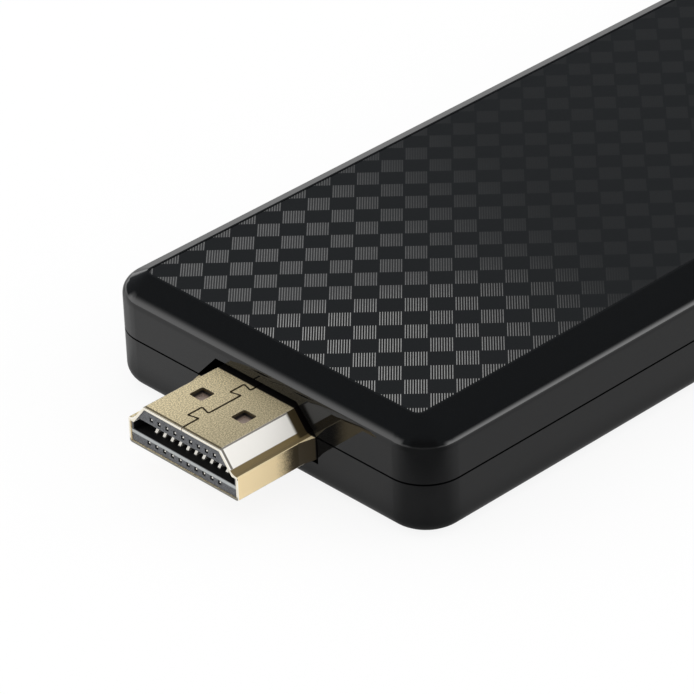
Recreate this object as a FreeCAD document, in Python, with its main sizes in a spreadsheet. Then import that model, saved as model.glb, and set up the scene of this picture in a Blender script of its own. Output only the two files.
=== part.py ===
import FreeCAD, Part
import math
import os
import Sketcher

# A stick-shaped computer that plugs straight into a screen. +Z is up and +X runs from the plug to the
# rear end. The origin is under the middle of the whole object, on the plane that it lies on.
# All sizes are in millimetres.

sizes = {
    # housing
    "body_length": 92.0,
    "body_width": 40.4,
    "body_height": 11.0,
    "corner_radius": 4.0,
    "parting_height": 5.3,
    "bevel_drop": 1.58,
    "bevel_front": 2.2,
    "bevel_side": 2.9,
    "edge_round_drop": 0.85,
    "edge_round_share": 0.3,
    "rim_width": 0.2,
    "rim_radius": 0.95,
    "base_round": 1.6,
    "wall": 1.5,
    "floor_thickness": 1.2,
    "roof": 1.0,
    "groove_width": 0.18,
    "groove_depth": 0.4,
    "lip_height": 0.8,
    "lip_thickness": 0.6,
    "lip_clearance": 0.08,
    # patterned panel
    "panel_thickness": 0.6,
    "panel_recess": 0.02,
    "panel_gap": 0.03,
    "panel_chamfer": 0.04,
    # blank label under the housing
    "label_length": 34.0,
    "label_width": 22.0,
    "label_thickness": 0.1,
    "label_recess": 0.14,
    "label_gap": 0.15,
    "label_from_front": 28.0,
    # slots that let warm air out under the processor's end
    "vent_length": 12.0,
    "vent_width": 1.0,
    "vent_pitch": 2.6,
    "vent_count": 5,
    "vent_from_front": 52.0,
    # video plug
    "plug_reach": 8.8,
    "plug_tail": 5.2,
    "plug_shift": 0.5,
    "plug_low": 2.7,
    "plug_width": 13.9,
    "plug_height": 4.45,
    "plug_side_height": 2.55,
    "plug_foot_width": 12.7,
    "plug_top_width": 9.7,
    "plug_plate": 0.25,
    "plug_base_round": 0.3,
    "plug_top_round": 0.25,
    "plug_ledge_round": 0.9,
    "plug_ledge_edge": 0.1,
    "plug_lip_round": 0.1,
    "plug_flare": 0.42,
    "plug_flare_length": 1.7,
    "plug_cut_edge": 0.06,
    "plug_window": 1.5,
    "plug_window_from_tip": 4.15,
    "plug_window_spread": 5.3,
    "window_pocket": 0.5,
    "seam_width": 0.1,
    "knob_length": 1.7,
    "knob_depth": 1.1,
    "knob_neck": 1.1,
    "cut_corner_round": 0.15,
    "front_knob_from_tip": 1.8,
    "rear_knob_from_tip": 6.75,
    "leg_length": 3.2,
    "leg_height": 1.6,
    "leg_clearance": 0.1,
    "insulator_gap": 0.03,
    "insulator_setback": 0.12,
    "insulator_tail": 0.5,
    "cavity_width": 12.9,
    "cavity_low": 1.45,
    "cavity_height": 1.45,
    "cavity_depth": 9.0,
    "cavity_chamfer": 0.8,
    "keyhole": 0.42,
    "keyhole_depth": 0.5,
    "lower_keyhole_height": 0.85,
    "upper_keyhole_height": 3.4,
    "contact_pitch": 1.0,
    "contact_width": 0.3,
    "contact_thickness": 0.16,
    "contact_rise": 0.06,
    "contact_nose_run": 0.3,
    "contact_nose_rise": 0.35,
    "contact_jog": 0.3,
    "contact_setback": 1.0,
    "contact_clearance": 0.02,
    "contact_foot": 1.5,
    "lower_contact_count": 10,
    "upper_contact_count": 9,
    "opening_top_gap": 0.78,
    "opening_side_gap": 0.6,
    "opening_base_gap": 0.15,
    "opening_top_width": 10.2,
    # circuit board, with the places of the pieces on it as shares of its length from the plug's end
    "board_thickness": 1.0,
    "board_gap": 0.4,
    "processor_share": 0.379,
    "memory_share": 0.533,
    "flash_share": 0.681,
    "main_crystal_share": 0.249,
    "radio_crystal_share": 0.119,
    "card_share": 0.359,
    "screw_inset": 3.2,
    "screw_hole": 1.8,
    "screw_shank": 1.6,
    "screw_head": 3.0,
    "screw_head_height": 1.0,
    "screw_length": 3.6,
    "screw_slot": 0.4,
    "screw_slot_depth": 0.5,
    "thread_clearance": 0.04,
    "boss_width": 4.0,
    "post_width": 2.5,
    "post_gap": 0.1,
    "post_inset": 1.6,
    # processor and what cools it
    "processor_size": 14.0,
    "processor_height": 1.2,
    "pad_thickness": 0.5,
    "spreader_length": 26.0,
    "spreader_width": 26.0,
    "spreader_thickness": 1.0,
    "spreader_slot": 1.2,
    "spreader_slot_depth": 0.4,
    "spreader_slot_pitch": 3.8,
    "spreader_slot_count": 6,
    # other chips
    "memory_length": 9.0,
    "memory_width": 11.0,
    "memory_height": 1.0,
    "memory_spread": 14.0,
    "flash_length": 13.0,
    "flash_width": 11.5,
    "flash_height": 1.0,
    "flash_shift": 6.0,
    "power_chip_size": 6.0,
    "power_chip_height": 0.9,
    "power_chip_shift": 6.5,
    "inductor_size": 3.0,
    "inductor_height": 1.6,
    "inductor_pitch": 5.0,
    "inductor_count": 4,
    "inductor_gap": 1.0,
    "crystal_length": 3.2,
    "crystal_width": 2.5,
    "crystal_height": 0.8,
    "crystal_shift": 8.0,
    "capacitor_length": 1.0,
    "capacitor_width": 0.5,
    "capacitor_pitch": 1.8,
    "capacitor_count": 8,
    "capacitor_shift": 9.2,
    "chip_dot": 0.8,
    "chip_dot_depth": 0.1,
    "chip_chamfer": 0.15,
    # wireless module and its antenna
    "wireless_size": 12.0,
    "wireless_board": 0.8,
    "wireless_from_front": 10.0,
    "wireless_gap": 1.9,
    "shield_size": 10.6,
    "shield_height": 1.6,
    "shield_plate": 0.2,
    "antenna_length": 8.0,
    "antenna_width": 2.0,
    "antenna_height": 1.2,
    "antenna_inset": 1.0,
    # host port at the rear end
    "host_width": 13.2,
    "host_height": 5.8,
    "host_depth": 13.0,
    "host_plate": 0.3,
    "host_round": 0.6,
    "host_recess": 0.3,
    "host_block": 3.2,
    "host_tongue_width": 11.1,
    "host_tongue_thickness": 1.84,
    "host_tongue_length": 8.4,
    "host_tongue_gap": 0.75,
    "host_contact_width": 1.0,
    "host_contact_thickness": 0.25,
    "host_inner_pitch": 2.0,
    "host_outer_pitch": 7.0,
    "host_foot": 1.4,
    "host_tail_gap": 0.6,
    "host_leg_length": 2.4,
    "host_leg_reach": 1.2,
    "port_gap": 0.2,
    "port_fit": 0.03,
    "tail_gap": 0.12,
    # power and data ports on the long side
    "micro_width": 7.5,
    "micro_base_width": 6.0,
    "micro_height": 2.6,
    "micro_side_height": 1.5,
    "micro_depth": 5.4,
    "micro_plate": 0.25,
    "micro_recess": 0.3,
    "micro_block": 1.4,
    "micro_tongue_width": 3.7,
    "micro_tongue_thickness": 0.6,
    "micro_tongue_length": 3.0,
    "micro_contact_width": 0.3,
    "micro_contact_pitch": 0.65,
    "micro_contact_count": 5,
    "micro_contact_thickness": 0.12,
    "micro_foot": 0.7,
    "data_port_from_rear": 16.0,
    "power_port_from_rear": 30.0,
    # memory-card socket under the board
    "card_socket_width": 14.0,
    "card_socket_depth": 14.5,
    "card_socket_height": 1.45,
    "card_plate": 0.2,
    "card_width": 11.2,
    "card_gap": 0.75,
    "card_contact_width": 0.6,
    "card_contact_pitch": 1.1,
    "card_contact_count": 8,
    "card_contact_thickness": 0.12,
    "card_contact_length": 4.5,
    "card_slot_gap": 0.25,
    "card_tail_room": 1.0,
    # recovery button under the board
    "button_from_rear": 13.0,
    "button_shift": 10.0,
    "button_size": 4.0,
    "button_height": 1.5,
    "button_well": 3.2,
    "button_well_depth": 0.75,
    "button_cover": 0.15,
    "button_cover_hole": 1.9,
    "plunger_flange": 2.6,
    "plunger_flange_height": 0.35,
    "plunger_width": 1.6,
    "plunger_reach": 0.65,
    "dome_width": 2.8,
    "dome_plate": 0.08,
    "dome_top_width": 1.5,
    "dome_gap": 0.02,
    "pinhole": 1.5,
    "guide_width": 3.6,
    "guide_gap": 0.25,
    # status light at the rear end
    "led_length": 0.8,
    "led_width": 1.6,
    "led_height": 1.2,
    "led_shift": 11.0,
    "pipe_width": 1.5,
    "pipe_flange": 2.2,
    "pipe_flange_thickness": 0.3,
    "pipe_rise": 1.0,
    "pipe_clearance": 0.04,
}

document = FreeCAD.newDocument("ComputerStick")
sheet = document.addObject("Spreadsheet::Sheet", "Sizes")
for row, (alias, number) in enumerate(sizes.items(), start=1):
    sheet.set("A%d" % row, alias)
    sheet.set("B%d" % row, str(number))
    sheet.setAlias("B%d" % row, alias)
document.recompute()


class Size:
    # A number together with the formula over the sheet's cells that gives it.

    def __init__(self, number, formula):
        self.number = number
        self.formula = formula

    def __add__(self, other):
        other = as_size(other)
        return Size(self.number + other.number, "(%s + %s)" % (self.formula, other.formula))

    def __sub__(self, other):
        other = as_size(other)
        return Size(self.number - other.number, "(%s - %s)" % (self.formula, other.formula))

    def __mul__(self, other):
        other = as_size(other)
        return Size(self.number * other.number, "(%s * %s)" % (self.formula, other.formula))

    def __truediv__(self, other):
        other = as_size(other)
        return Size(self.number / other.number, "(%s / %s)" % (self.formula, other.formula))

    def __neg__(self):
        return as_size(0) - self

    def root(self):
        return Size(math.sqrt(self.number), "sqrt(%s)" % self.formula)


def as_size(value):
    return value if isinstance(value, Size) else Size(float(value), repr(float(value)))


def of(alias):
    return Size(float(sizes[alias]), "Sizes." + alias)


nothing = as_size(0)


def bind(thing, path, value):
    thing.setExpression(path, as_size(value).formula)


def bind_place(thing, x, y, z):
    for axis, value in zip("xyz", (x, y, z)):
        bind(thing, "Placement.Base." + axis, value)


# Sub-parts and the features in them

sub_parts = []


def sub_part(label, x=0, y=0, z=0):
    body = document.addObject("PartDesign::Body", label)
    body.Label = label
    bind_place(body, x, y, z)
    sub_parts.append(body)
    return body


def origin_feature(body, role):
    return next(feature for feature in body.Origin.OriginFeatures if feature.Role == role)


def sketch_in(body, name, role="XY_Plane", across=0, along=0, away=0):
    sketch = body.newObject("Sketcher::SketchObject", body.Label + "_" + name)
    sketch.AttachmentSupport = [(origin_feature(body, role), "")]
    sketch.MapMode = "FlatFace"
    for axis, value in zip("xyz", (across, along, away)):
        bind(sketch, "AttachmentOffset.Base." + axis, value)
    return sketch


def fix(sketch, kind, first, point, value):
    index = sketch.addConstraint(
        Sketcher.Constraint(kind, -1, 1, first, point, as_size(value).number)
    )
    bind(sketch, "Constraints[%d]" % index, value)


def polygon(sketch, points):
    corners = [FreeCAD.Vector(as_size(x).number, as_size(y).number, 0) for x, y in points]
    first = sketch.GeometryCount
    for here, there in zip(corners, corners[1:] + corners[:1]):
        sketch.addGeometry(Part.LineSegment(here, there), False)
    for number, (x, y) in enumerate(points):
        following = first + (number + 1) % len(points)
        sketch.addConstraint(Sketcher.Constraint("Coincident", first + number, 2, following, 1))
        fix(sketch, "DistanceX", first + number, 1, x)
        fix(sketch, "DistanceY", first + number, 1, y)
    return sketch


def rectangle(sketch, x_low, y_low, x_high, y_high):
    return polygon(sketch, [(x_low, y_low), (x_high, y_low), (x_high, y_high), (x_low, y_high)])


def rounded(sketch, length, width, radius):
    # A rectangle about the sketch's origin, each corner a quarter circle.
    across = length / 2 - radius
    along = width / 2 - radius
    first = sketch.GeometryCount
    normal = FreeCAD.Vector(0, 0, 1)
    for number, (side_x, side_y) in enumerate([(1, 1), (-1, 1), (-1, -1), (1, -1)]):
        centre = FreeCAD.Vector(side_x * across.number, side_y * along.number, 0)
        start = number * math.pi / 2
        circle = Part.Circle(centre, normal, radius.number)
        sketch.addGeometry(Part.ArcOfCircle(circle, start, start + math.pi / 2), False)
    for number in range(4):
        here = sketch.getPoint(first + number, 2)
        there = sketch.getPoint(first + (number + 1) % 4, 1)
        sketch.addGeometry(Part.LineSegment(here, there), False)
    for number, (side_x, side_y) in enumerate([(1, 1), (-1, 1), (-1, -1), (1, -1)]):
        arc = first + number
        line = first + 4 + number
        following = first + (number + 1) % 4
        fix(sketch, "DistanceX", arc, 3, across * side_x)
        fix(sketch, "DistanceY", arc, 3, along * side_y)
        index = sketch.addConstraint(Sketcher.Constraint("Radius", arc, radius.number))
        bind(sketch, "Constraints[%d]" % index, radius)
        sketch.addConstraint(Sketcher.Constraint("Tangent", arc, 2, line, 1))
        sketch.addConstraint(Sketcher.Constraint("Tangent", line, 2, following, 1))
    return sketch


def circles(sketch, places, width):
    for x, y in places:
        number = sketch.GeometryCount
        centre = FreeCAD.Vector(as_size(x).number, as_size(y).number, 0)
        radius = as_size(width) / 2
        sketch.addGeometry(Part.Circle(centre, FreeCAD.Vector(0, 0, 1), radius.number), False)
        fix(sketch, "DistanceX", number, 3, x)
        fix(sketch, "DistanceY", number, 3, y)
        index = sketch.addConstraint(Sketcher.Constraint("Radius", number, radius.number))
        bind(sketch, "Constraints[%d]" % index, radius)
    return sketch


def pad(body, name, sketch, height):
    feature = body.newObject("PartDesign::Pad", body.Label + "_" + name)
    feature.Profile = sketch
    feature.Refine = False
    bind(feature, "Length", height)
    return feature


def pocket(body, name, sketch, depth):
    # Cuts along the sketch's normal, because the sketch lies below what is cut away.
    feature = body.newObject("PartDesign::Pocket", body.Label + "_" + name)
    feature.Profile = sketch
    feature.Reversed = True
    feature.Refine = False
    bind(feature, "Length", depth)
    return feature


def box(body, name, low, high, cut=False):
    kind = "PartDesign::SubtractiveBox" if cut else "PartDesign::AdditiveBox"
    feature = body.newObject(kind, body.Label + "_" + name)
    feature.Refine = False
    low = [as_size(value) for value in low]
    high = [as_size(value) for value in high]
    bind_place(feature, *low)
    for side, start, end in zip(("Length", "Width", "Height"), low, high):
        bind(feature, side, end - start)
    return feature


def drum(body, name, x, y, z, width, height, cut=False, axis=None):
    # A round feature that stands up from its foot, or lies along the axis that is given.
    kind = "PartDesign::SubtractiveCylinder" if cut else "PartDesign::AdditiveCylinder"
    feature = body.newObject(kind, body.Label + "_" + name)
    feature.Refine = False
    if axis == "x":
        feature.Placement.Rotation = FreeCAD.Rotation(FreeCAD.Vector(0, 1, 0), 90)
    bind_place(feature, x, y, z)
    bind(feature, "Radius", as_size(width) / 2)
    bind(feature, "Height", height)
    return feature


def row_of(body, name, feature, role, pitch, count):
    # Repeats a feature along one of the body's axes, from its own place onwards.
    pattern = body.newObject("PartDesign::LinearPattern", body.Label + "_" + name)
    pattern.Originals = [feature]
    pattern.Refine = False
    pattern.Direction = (origin_feature(body, role), [""])
    bind(pattern, "Length", pitch * (count - 1))
    bind(pattern, "Occurrences", count)
    body.Tip = pattern
    return pattern


def edges_where(feature, wanted):
    document.recompute()
    found = []
    for number, edge in enumerate(feature.Shape.Edges, start=1):
        ends = [vertex.Point for vertex in edge.Vertexes]
        if ends and wanted(ends):
            found.append("Edge%d" % number)
    return found


def near(first, second):
    return abs(first - as_size(second).number) < 1e-4


def at_height(height):
    return lambda ends: all(near(end.z, height) for end in ends)


def lengthwise_at(height, aside=None):
    # Edges that run along the plug at a height and, if it is given, that far from its middle plane.
    level = at_height(height)

    def wanted(ends):
        in_line = aside is None or all(near(abs(end.y), aside) for end in ends)
        return in_line and level(ends) and abs(ends[0].x - ends[-1].x) > 1

    return wanted


def at_tip(ends):
    return all(near(end.x, 0) for end in ends)


def upright_in_crown(ends):
    # A corner of the seam or of a window, through the sheet of the video plug's top.
    first, last = ends[0], ends[-1]
    inside = of("plug_lip_round").number + 0.01 < first.x < plug_length.number - 0.01
    same_place = near(first.x, last.x) and near(first.y, last.y)
    above_block = min(first.z, last.z) > of("plug_side_height").number
    return inside and same_place and above_block and not near(first.z, last.z)


def cut_in_crown(ends):
    # An edge that the seam or a window leaves on the video plug's flat top.
    low = of("plug_lip_round").number + 0.01
    high = plug_length.number - 0.01
    side = of("plug_top_width").number / 2 - of("plug_top_round").number - 0.1
    on_top = all(near(end.z, of("plug_height")) and abs(end.y) < side for end in ends)
    return on_top and max(end.x for end in ends) > low and min(end.x for end in ends) < high


def fillet(body, name, feature, wanted, radius):
    rounding = body.newObject("PartDesign::Fillet", body.Label + "_" + name)
    rounding.Base = (feature, edges_where(feature, wanted))
    rounding.Refine = False
    bind(rounding, "Radius", radius)
    return rounding


def chamfer(body, name, feature, wanted, width):
    bevel = body.newObject("PartDesign::Chamfer", body.Label + "_" + name)
    bevel.Base = (feature, edges_where(feature, wanted))
    bind(bevel, "Size", width)
    return bevel


def block(name, low, high):
    solid = document.addObject("Part::Box", name)
    low = [as_size(value) for value in low]
    high = [as_size(value) for value in high]
    bind_place(solid, *low)
    for side, start, end in zip(("Length", "Width", "Height"), low, high):
        bind(solid, side, end - start)
    return solid


def rod(name, x, y, z, width, height):
    solid = document.addObject("Part::Cylinder", name)
    bind_place(solid, x, y, z)
    bind(solid, "Radius", as_size(width) / 2)
    bind(solid, "Height", height)
    return solid


def cluster(label, members, x=0, y=0, z=0):
    group = document.addObject("Part::Compound", label)
    group.Label = label
    group.Links = members
    bind_place(group, x, y, z)
    sub_parts.append(group)
    return group


# Places that several sub-parts share

tip_x = -(of("body_length") + of("plug_reach")) / 2
front_x = tip_x + of("plug_reach")
rear_x = -tip_x
mid_x = of("plug_reach") / 2
half_length = of("body_length") / 2
half_width = of("body_width") / 2
inner_length = of("body_length") - of("wall") * 2
inner_width = of("body_width") - of("wall") * 2
inner_radius = of("corner_radius") - of("wall")
ceiling = of("body_height") - of("panel_recess") - of("panel_thickness") - of("roof")

plug_mid_z = of("plug_low") + of("plug_height") / 2
plug_length = of("plug_reach") + of("plug_tail")
insulator_end = plug_length + of("insulator_tail")

board_low = plug_mid_z - of("board_thickness") / 2
board_top = board_low + of("board_thickness")
board_front = tip_x + insulator_end
board_rear = rear_x - of("wall") - of("board_gap")
board_length = board_rear - board_front
board_mid = (board_rear + board_front) / 2
board_width = inner_width - of("board_gap") * 2


def along_board(alias):
    return board_front + board_length * of(alias)


processor_x = along_board("processor_share")
memory_x = along_board("memory_share")
flash_x = along_board("flash_share")
opening_half = of("plug_width") / 2 + of("opening_side_gap")
opening_low = of("plug_low") - of("opening_base_gap")
opening_top = of("plug_low") + of("plug_height") + of("opening_top_gap")
host_low = plug_mid_z - of("host_height") / 2
host_inner_x = rear_x - of("host_recess") - of("host_depth")
data_port_x = rear_x - of("data_port_from_rear")
power_port_x = rear_x - of("power_port_from_rear")
card_x = along_board("card_share")
button_x = rear_x - of("button_from_rear")
pipe_z = board_top + of("pipe_rise")
screw_x = board_length / 2 - of("screw_inset")
screw_y = board_width / 2 - of("screw_inset")
screw_places = [(screw_x * side_x, screw_y * side_y) for side_x in (-1, 1) for side_y in (-1, 1)]


def outline_at(body, name, height, inset_x=nothing, inset_y=nothing, radius=None):
    sketch = sketch_in(body, name, away=height)
    length = of("body_length") - inset_x * 2
    width = of("body_width") - inset_y * 2
    return rounded(sketch, length, width, radius or of("corner_radius"))


def bevel_outline(body, name, share, below=nothing):
    # The outline on the bevel, at a share of the way from the wall's edge to the rim, or below that.
    height = of("body_height") - of("bevel_drop") + of("bevel_drop") * share - below
    radius = of("corner_radius") + (of("rim_radius") - of("corner_radius")) * share
    inset_x = of("bevel_front") * share
    return outline_at(body, name, height, inset_x, of("bevel_side") * share, radius)


def loft(body, name, outlines, ruled):
    feature = body.newObject("PartDesign::AdditiveLoft", body.Label + "_" + name)
    feature.Profile = outlines[0]
    feature.Sections = outlines[1:]
    feature.Ruled = ruled
    feature.Refine = False
    return feature


def rounded_bevel(body):
    # A parabola leaves the wall upright, as far below the edge as the drop, and joins the bevel at
    # the share of its run. Its outlines lie at u = 0 ... 1, with share * u^2 and drop * (1 - u)^2.
    steps = 4
    outlines = []
    for step in range(steps + 1):
        along = step / steps
        share = of("edge_round_share") * along * along
        below = of("edge_round_drop") * (1 - along) * (1 - along)
        outlines.append(bevel_outline(body, "edge_%d" % step, share, below))
    loft(body, "edge_round", outlines, False)
    start = bevel_outline(body, "bevel_start", of("edge_round_share"))
    rim = bevel_outline(body, "rim", as_size(1))
    loft(body, "bevel", [start, rim], True)


def groove_ring(body, height):
    # The shadow line round the housing where its two halves meet.
    depth = of("groove_depth")
    margin = of("wall")
    ring = outline_at(body, "groove_profile", height, -margin, -margin)
    length = of("body_length") - depth * 2
    width = of("body_width") - depth * 2
    rounded(ring, length, width, of("corner_radius") - depth)
    return pocket(body, "groove", ring, of("groove_width") / 2)


def upper_shell():
    body = sub_part("upper_shell", mid_x, 0, 0)
    low = of("parting_height")
    wall_top = of("body_height") - of("bevel_drop") - of("edge_round_drop")
    pad(body, "sides", outline_at(body, "foot", low), wall_top - low)
    rounded_bevel(body)
    groove_ring(body, low)

    cavity = sketch_in(body, "cavity_profile", away=low)
    rounded(cavity, inner_length, inner_width, inner_radius)
    pocket(body, "cavity", cavity, ceiling - low)

    rebate = sketch_in(body, "rebate_profile", away=low)
    reach = of("lip_thickness") + of("lip_clearance")
    rounded(rebate, inner_length + reach * 2, inner_width + reach * 2, inner_radius + reach)
    pocket(body, "rebate", rebate, of("lip_height") + of("lip_clearance"))

    recess_depth = of("panel_recess") + of("panel_thickness")
    recess = outline_at(
        body,
        "recess_profile",
        of("body_height") - recess_depth,
        of("bevel_front") + of("rim_width"),
        of("bevel_side") + of("rim_width"),
        of("rim_radius") - of("rim_width"),
    )
    pocket(body, "recess", recess, recess_depth)

    # The opening round the plug widens downwards, to the lower half's straight sides.
    opening = sketch_in(body, "plug_opening_profile", "YZ_Plane", of("plug_shift"), 0, -half_length - 1)
    top_half = of("opening_top_width") / 2
    polygon(
        opening,
        [
            (-opening_half, low - 1),
            (opening_half, low - 1),
            (opening_half, low),
            (top_half, opening_top),
            (-top_half, opening_top),
            (-opening_half, low),
        ],
    )
    pocket(body, "plug_opening", opening, of("wall") + 1)

    rear = half_length + 1
    gap = of("port_gap")
    box(
        body,
        "host_opening",
        (half_length - of("wall") - 1, -of("host_width") / 2 - gap, low - 1),
        (rear, of("host_width") / 2 + gap, host_low + of("host_height") + gap),
        cut=True,
    )
    openings = sketch_in(body, "port_profile", away=board_top - gap)
    half = of("micro_width") / 2 + gap
    for x in (data_port_x - mid_x, power_port_x - mid_x):
        rectangle(openings, x - half, half_width - of("wall") - 1, x + half, half_width + 1)
    pocket(body, "port_openings", openings, of("micro_height") + gap * 2)
    drum(
        body,
        "light_hole",
        half_length - of("wall") - 1,
        of("led_shift"),
        pipe_z,
        of("pipe_width") + of("pipe_clearance") * 2,
        of("wall") + 2,
        cut=True,
        axis="x",
    )
    post_low = board_top + of("post_gap")
    post_y = board_width / 2 - of("post_inset")
    posts = sketch_in(body, "post_profile", away=post_low)
    circles(posts, [(nothing, -post_y), (nothing, post_y)], of("post_width"))
    pad(body, "posts", posts, ceiling + 0.2 - post_low)


def lower_shell():
    body = sub_part("lower_shell", mid_x, 0, 0)
    top = of("parting_height")
    base = pad(body, "base", outline_at(body, "outline", nothing), top)
    fillet(body, "base_round", base, at_height(nothing), of("base_round"))
    groove_ring(body, top - of("groove_width") / 2)

    reach = of("lip_thickness")
    lip = sketch_in(body, "lip_profile", away=top)
    rounded(lip, inner_length + reach * 2, inner_width + reach * 2, inner_radius + reach)
    pad(body, "lip", lip, of("lip_height"))

    cavity = sketch_in(body, "cavity_profile", away=of("floor_thickness"))
    rounded(cavity, inner_length, inner_width, inner_radius)
    pocket(body, "cavity", cavity, top + of("lip_height") - of("floor_thickness"))

    box(
        body,
        "plug_opening",
        (-half_length - 1, of("plug_shift") - opening_half, opening_low),
        (-half_length + of("wall") + 1, of("plug_shift") + opening_half, top + of("lip_height") + 1),
        cut=True,
    )
    gap = of("port_gap")
    box(
        body,
        "host_opening",
        (half_length - of("wall") - 1, -of("host_width") / 2 - gap, host_low - gap),
        (half_length + 1, of("host_width") / 2 + gap, top + of("lip_height") + 1),
        cut=True,
    )
    # The lip makes way for the two ports on the long side and for the light at the rear end.
    notches = sketch_in(body, "notch_profile", away=top)
    half = of("micro_width") / 2 + gap
    for x in (data_port_x - mid_x, power_port_x - mid_x):
        rectangle(notches, x - half, inner_width / 2 - 1, x + half, half_width)
    half = of("pipe_flange") / 2 + gap
    rectangle(notches, inner_length / 2 - 1, of("led_shift") - half, half_length, of("led_shift") + half)
    pocket(body, "notches", notches, of("lip_height") + 1)
    slot_gap = of("card_slot_gap")
    slot_low = board_low - of("card_socket_height")
    box(
        body,
        "card_slot",
        (card_x - mid_x - of("card_width") / 2 - slot_gap, half_width - of("wall") - 1, slot_low),
        (card_x - mid_x + of("card_width") / 2 + slot_gap, half_width + 1, board_low - slot_gap),
        cut=True,
    )
    shift = board_mid - mid_x
    places = [(shift + x, y) for x, y in screw_places]
    low = of("floor_thickness") - 0.2
    bosses = circles(sketch_in(body, "boss_profile", away=low), places, of("boss_width"))
    pad(body, "bosses", bosses, board_low - low)
    depth = of("screw_length") + of("thread_clearance") * 5 - of("board_thickness")
    bore = of("screw_shank") + of("thread_clearance") * 2
    bores = circles(sketch_in(body, "bore_profile", away=board_low - depth), places, bore)
    pocket(body, "bores", bores, depth + 1)

    button_low = board_low - of("button_height") - of("button_cover")
    guide_top = button_low - of("plunger_reach") - of("guide_gap")
    x = button_x - mid_x
    y = -of("button_shift")
    drum(body, "guide", x, y, low, of("guide_width"), guide_top - low)
    drum(body, "pinhole", x, y, -1, of("pinhole"), guide_top + 2, cut=True)

    label_x = of("label_from_front") - half_length
    grow = of("label_gap")
    box(
        body,
        "label_recess",
        (label_x - of("label_length") / 2 - grow, -of("label_width") / 2 - grow, -1),
        (label_x + of("label_length") / 2 + grow, of("label_width") / 2 + grow, of("label_recess")),
        cut=True,
    )
    vent_x = of("vent_from_front") - half_length
    slot = box(
        body,
        "vent",
        (vent_x, -of("vent_length") / 2, -1),
        (vent_x + of("vent_width"), of("vent_length") / 2, of("floor_thickness") + 1),
        cut=True,
    )
    row_of(body, "vents", slot, "X_Axis", of("vent_pitch"), of("vent_count"))


def top_panel():
    low = of("body_height") - of("panel_recess") - of("panel_thickness")
    body = sub_part("top_panel", mid_x, 0, low)
    inset = of("rim_width") + of("panel_gap")
    sketch = outline_at(
        body,
        "outline",
        nothing,
        of("bevel_front") + inset,
        of("bevel_side") + inset,
        of("rim_radius") - inset,
    )
    plate = pad(body, "plate", sketch, of("panel_thickness"))
    chamfer(body, "edge", plate, at_height(of("panel_thickness")), of("panel_chamfer"))


def underside_label():
    x = front_x + of("label_from_front")
    z = of("label_recess") - of("label_thickness")
    body = sub_part("underside_label", x, 0, z)
    sketch = rounded(sketch_in(body, "outline"), of("label_length"), of("label_width"), as_size(1))
    pad(body, "sheet", sketch, of("label_thickness"))


def plug_outline(inset):
    # The plug's outline, drawn in by the inset: wide below, a ledge on each side and a narrow top.
    run = (of("plug_foot_width") - of("plug_top_width")) / 2
    drop = of("plug_height") - of("plug_side_height")
    slant = (run * run + drop * drop).root()
    side = of("plug_width") / 2 - inset
    ledge = of("plug_side_height") - inset
    foot = of("plug_foot_width") / 2 + inset * run / drop - inset * slant / drop
    top_half = of("plug_top_width") / 2 + inset * run / drop - inset * slant / drop
    top = of("plug_height") - inset
    right = [(side, inset), (side, ledge), (foot, ledge), (top_half, top)]
    return [(-y, z) for y, z in reversed(right)] + right


def seam_outline():
    # One side of the folded sheet has two knobs that lock into the other side, as in a jigsaw.
    # The slit runs along them, half its width to each side of their edge.
    half = of("seam_width") / 2
    overhang = (of("knob_length") - of("knob_neck")) / 2
    near_side = [(as_size(-1), half)]
    far_side = [(as_size(-1), -half)]
    for start in (of("front_knob_from_tip"), of("rear_knob_from_tip")):
        end = start + of("knob_length")
        depth = of("knob_depth")
        near_side += [
            (start + overhang - half, half),
            (start - half, depth + half),
            (end + half, depth + half),
            (end - overhang + half, half),
        ]
        far_side += [
            (start + overhang + half, -half),
            (start + half, depth - half),
            (end - half, depth - half),
            (end - overhang - half, -half),
        ]
    near_side.append((plug_length + 1, half))
    far_side.append((plug_length + 1, -half))
    return near_side + far_side[::-1]


def plug_part(label):
    return sub_part(label, tip_x, of("plug_shift"), of("plug_low"))


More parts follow.
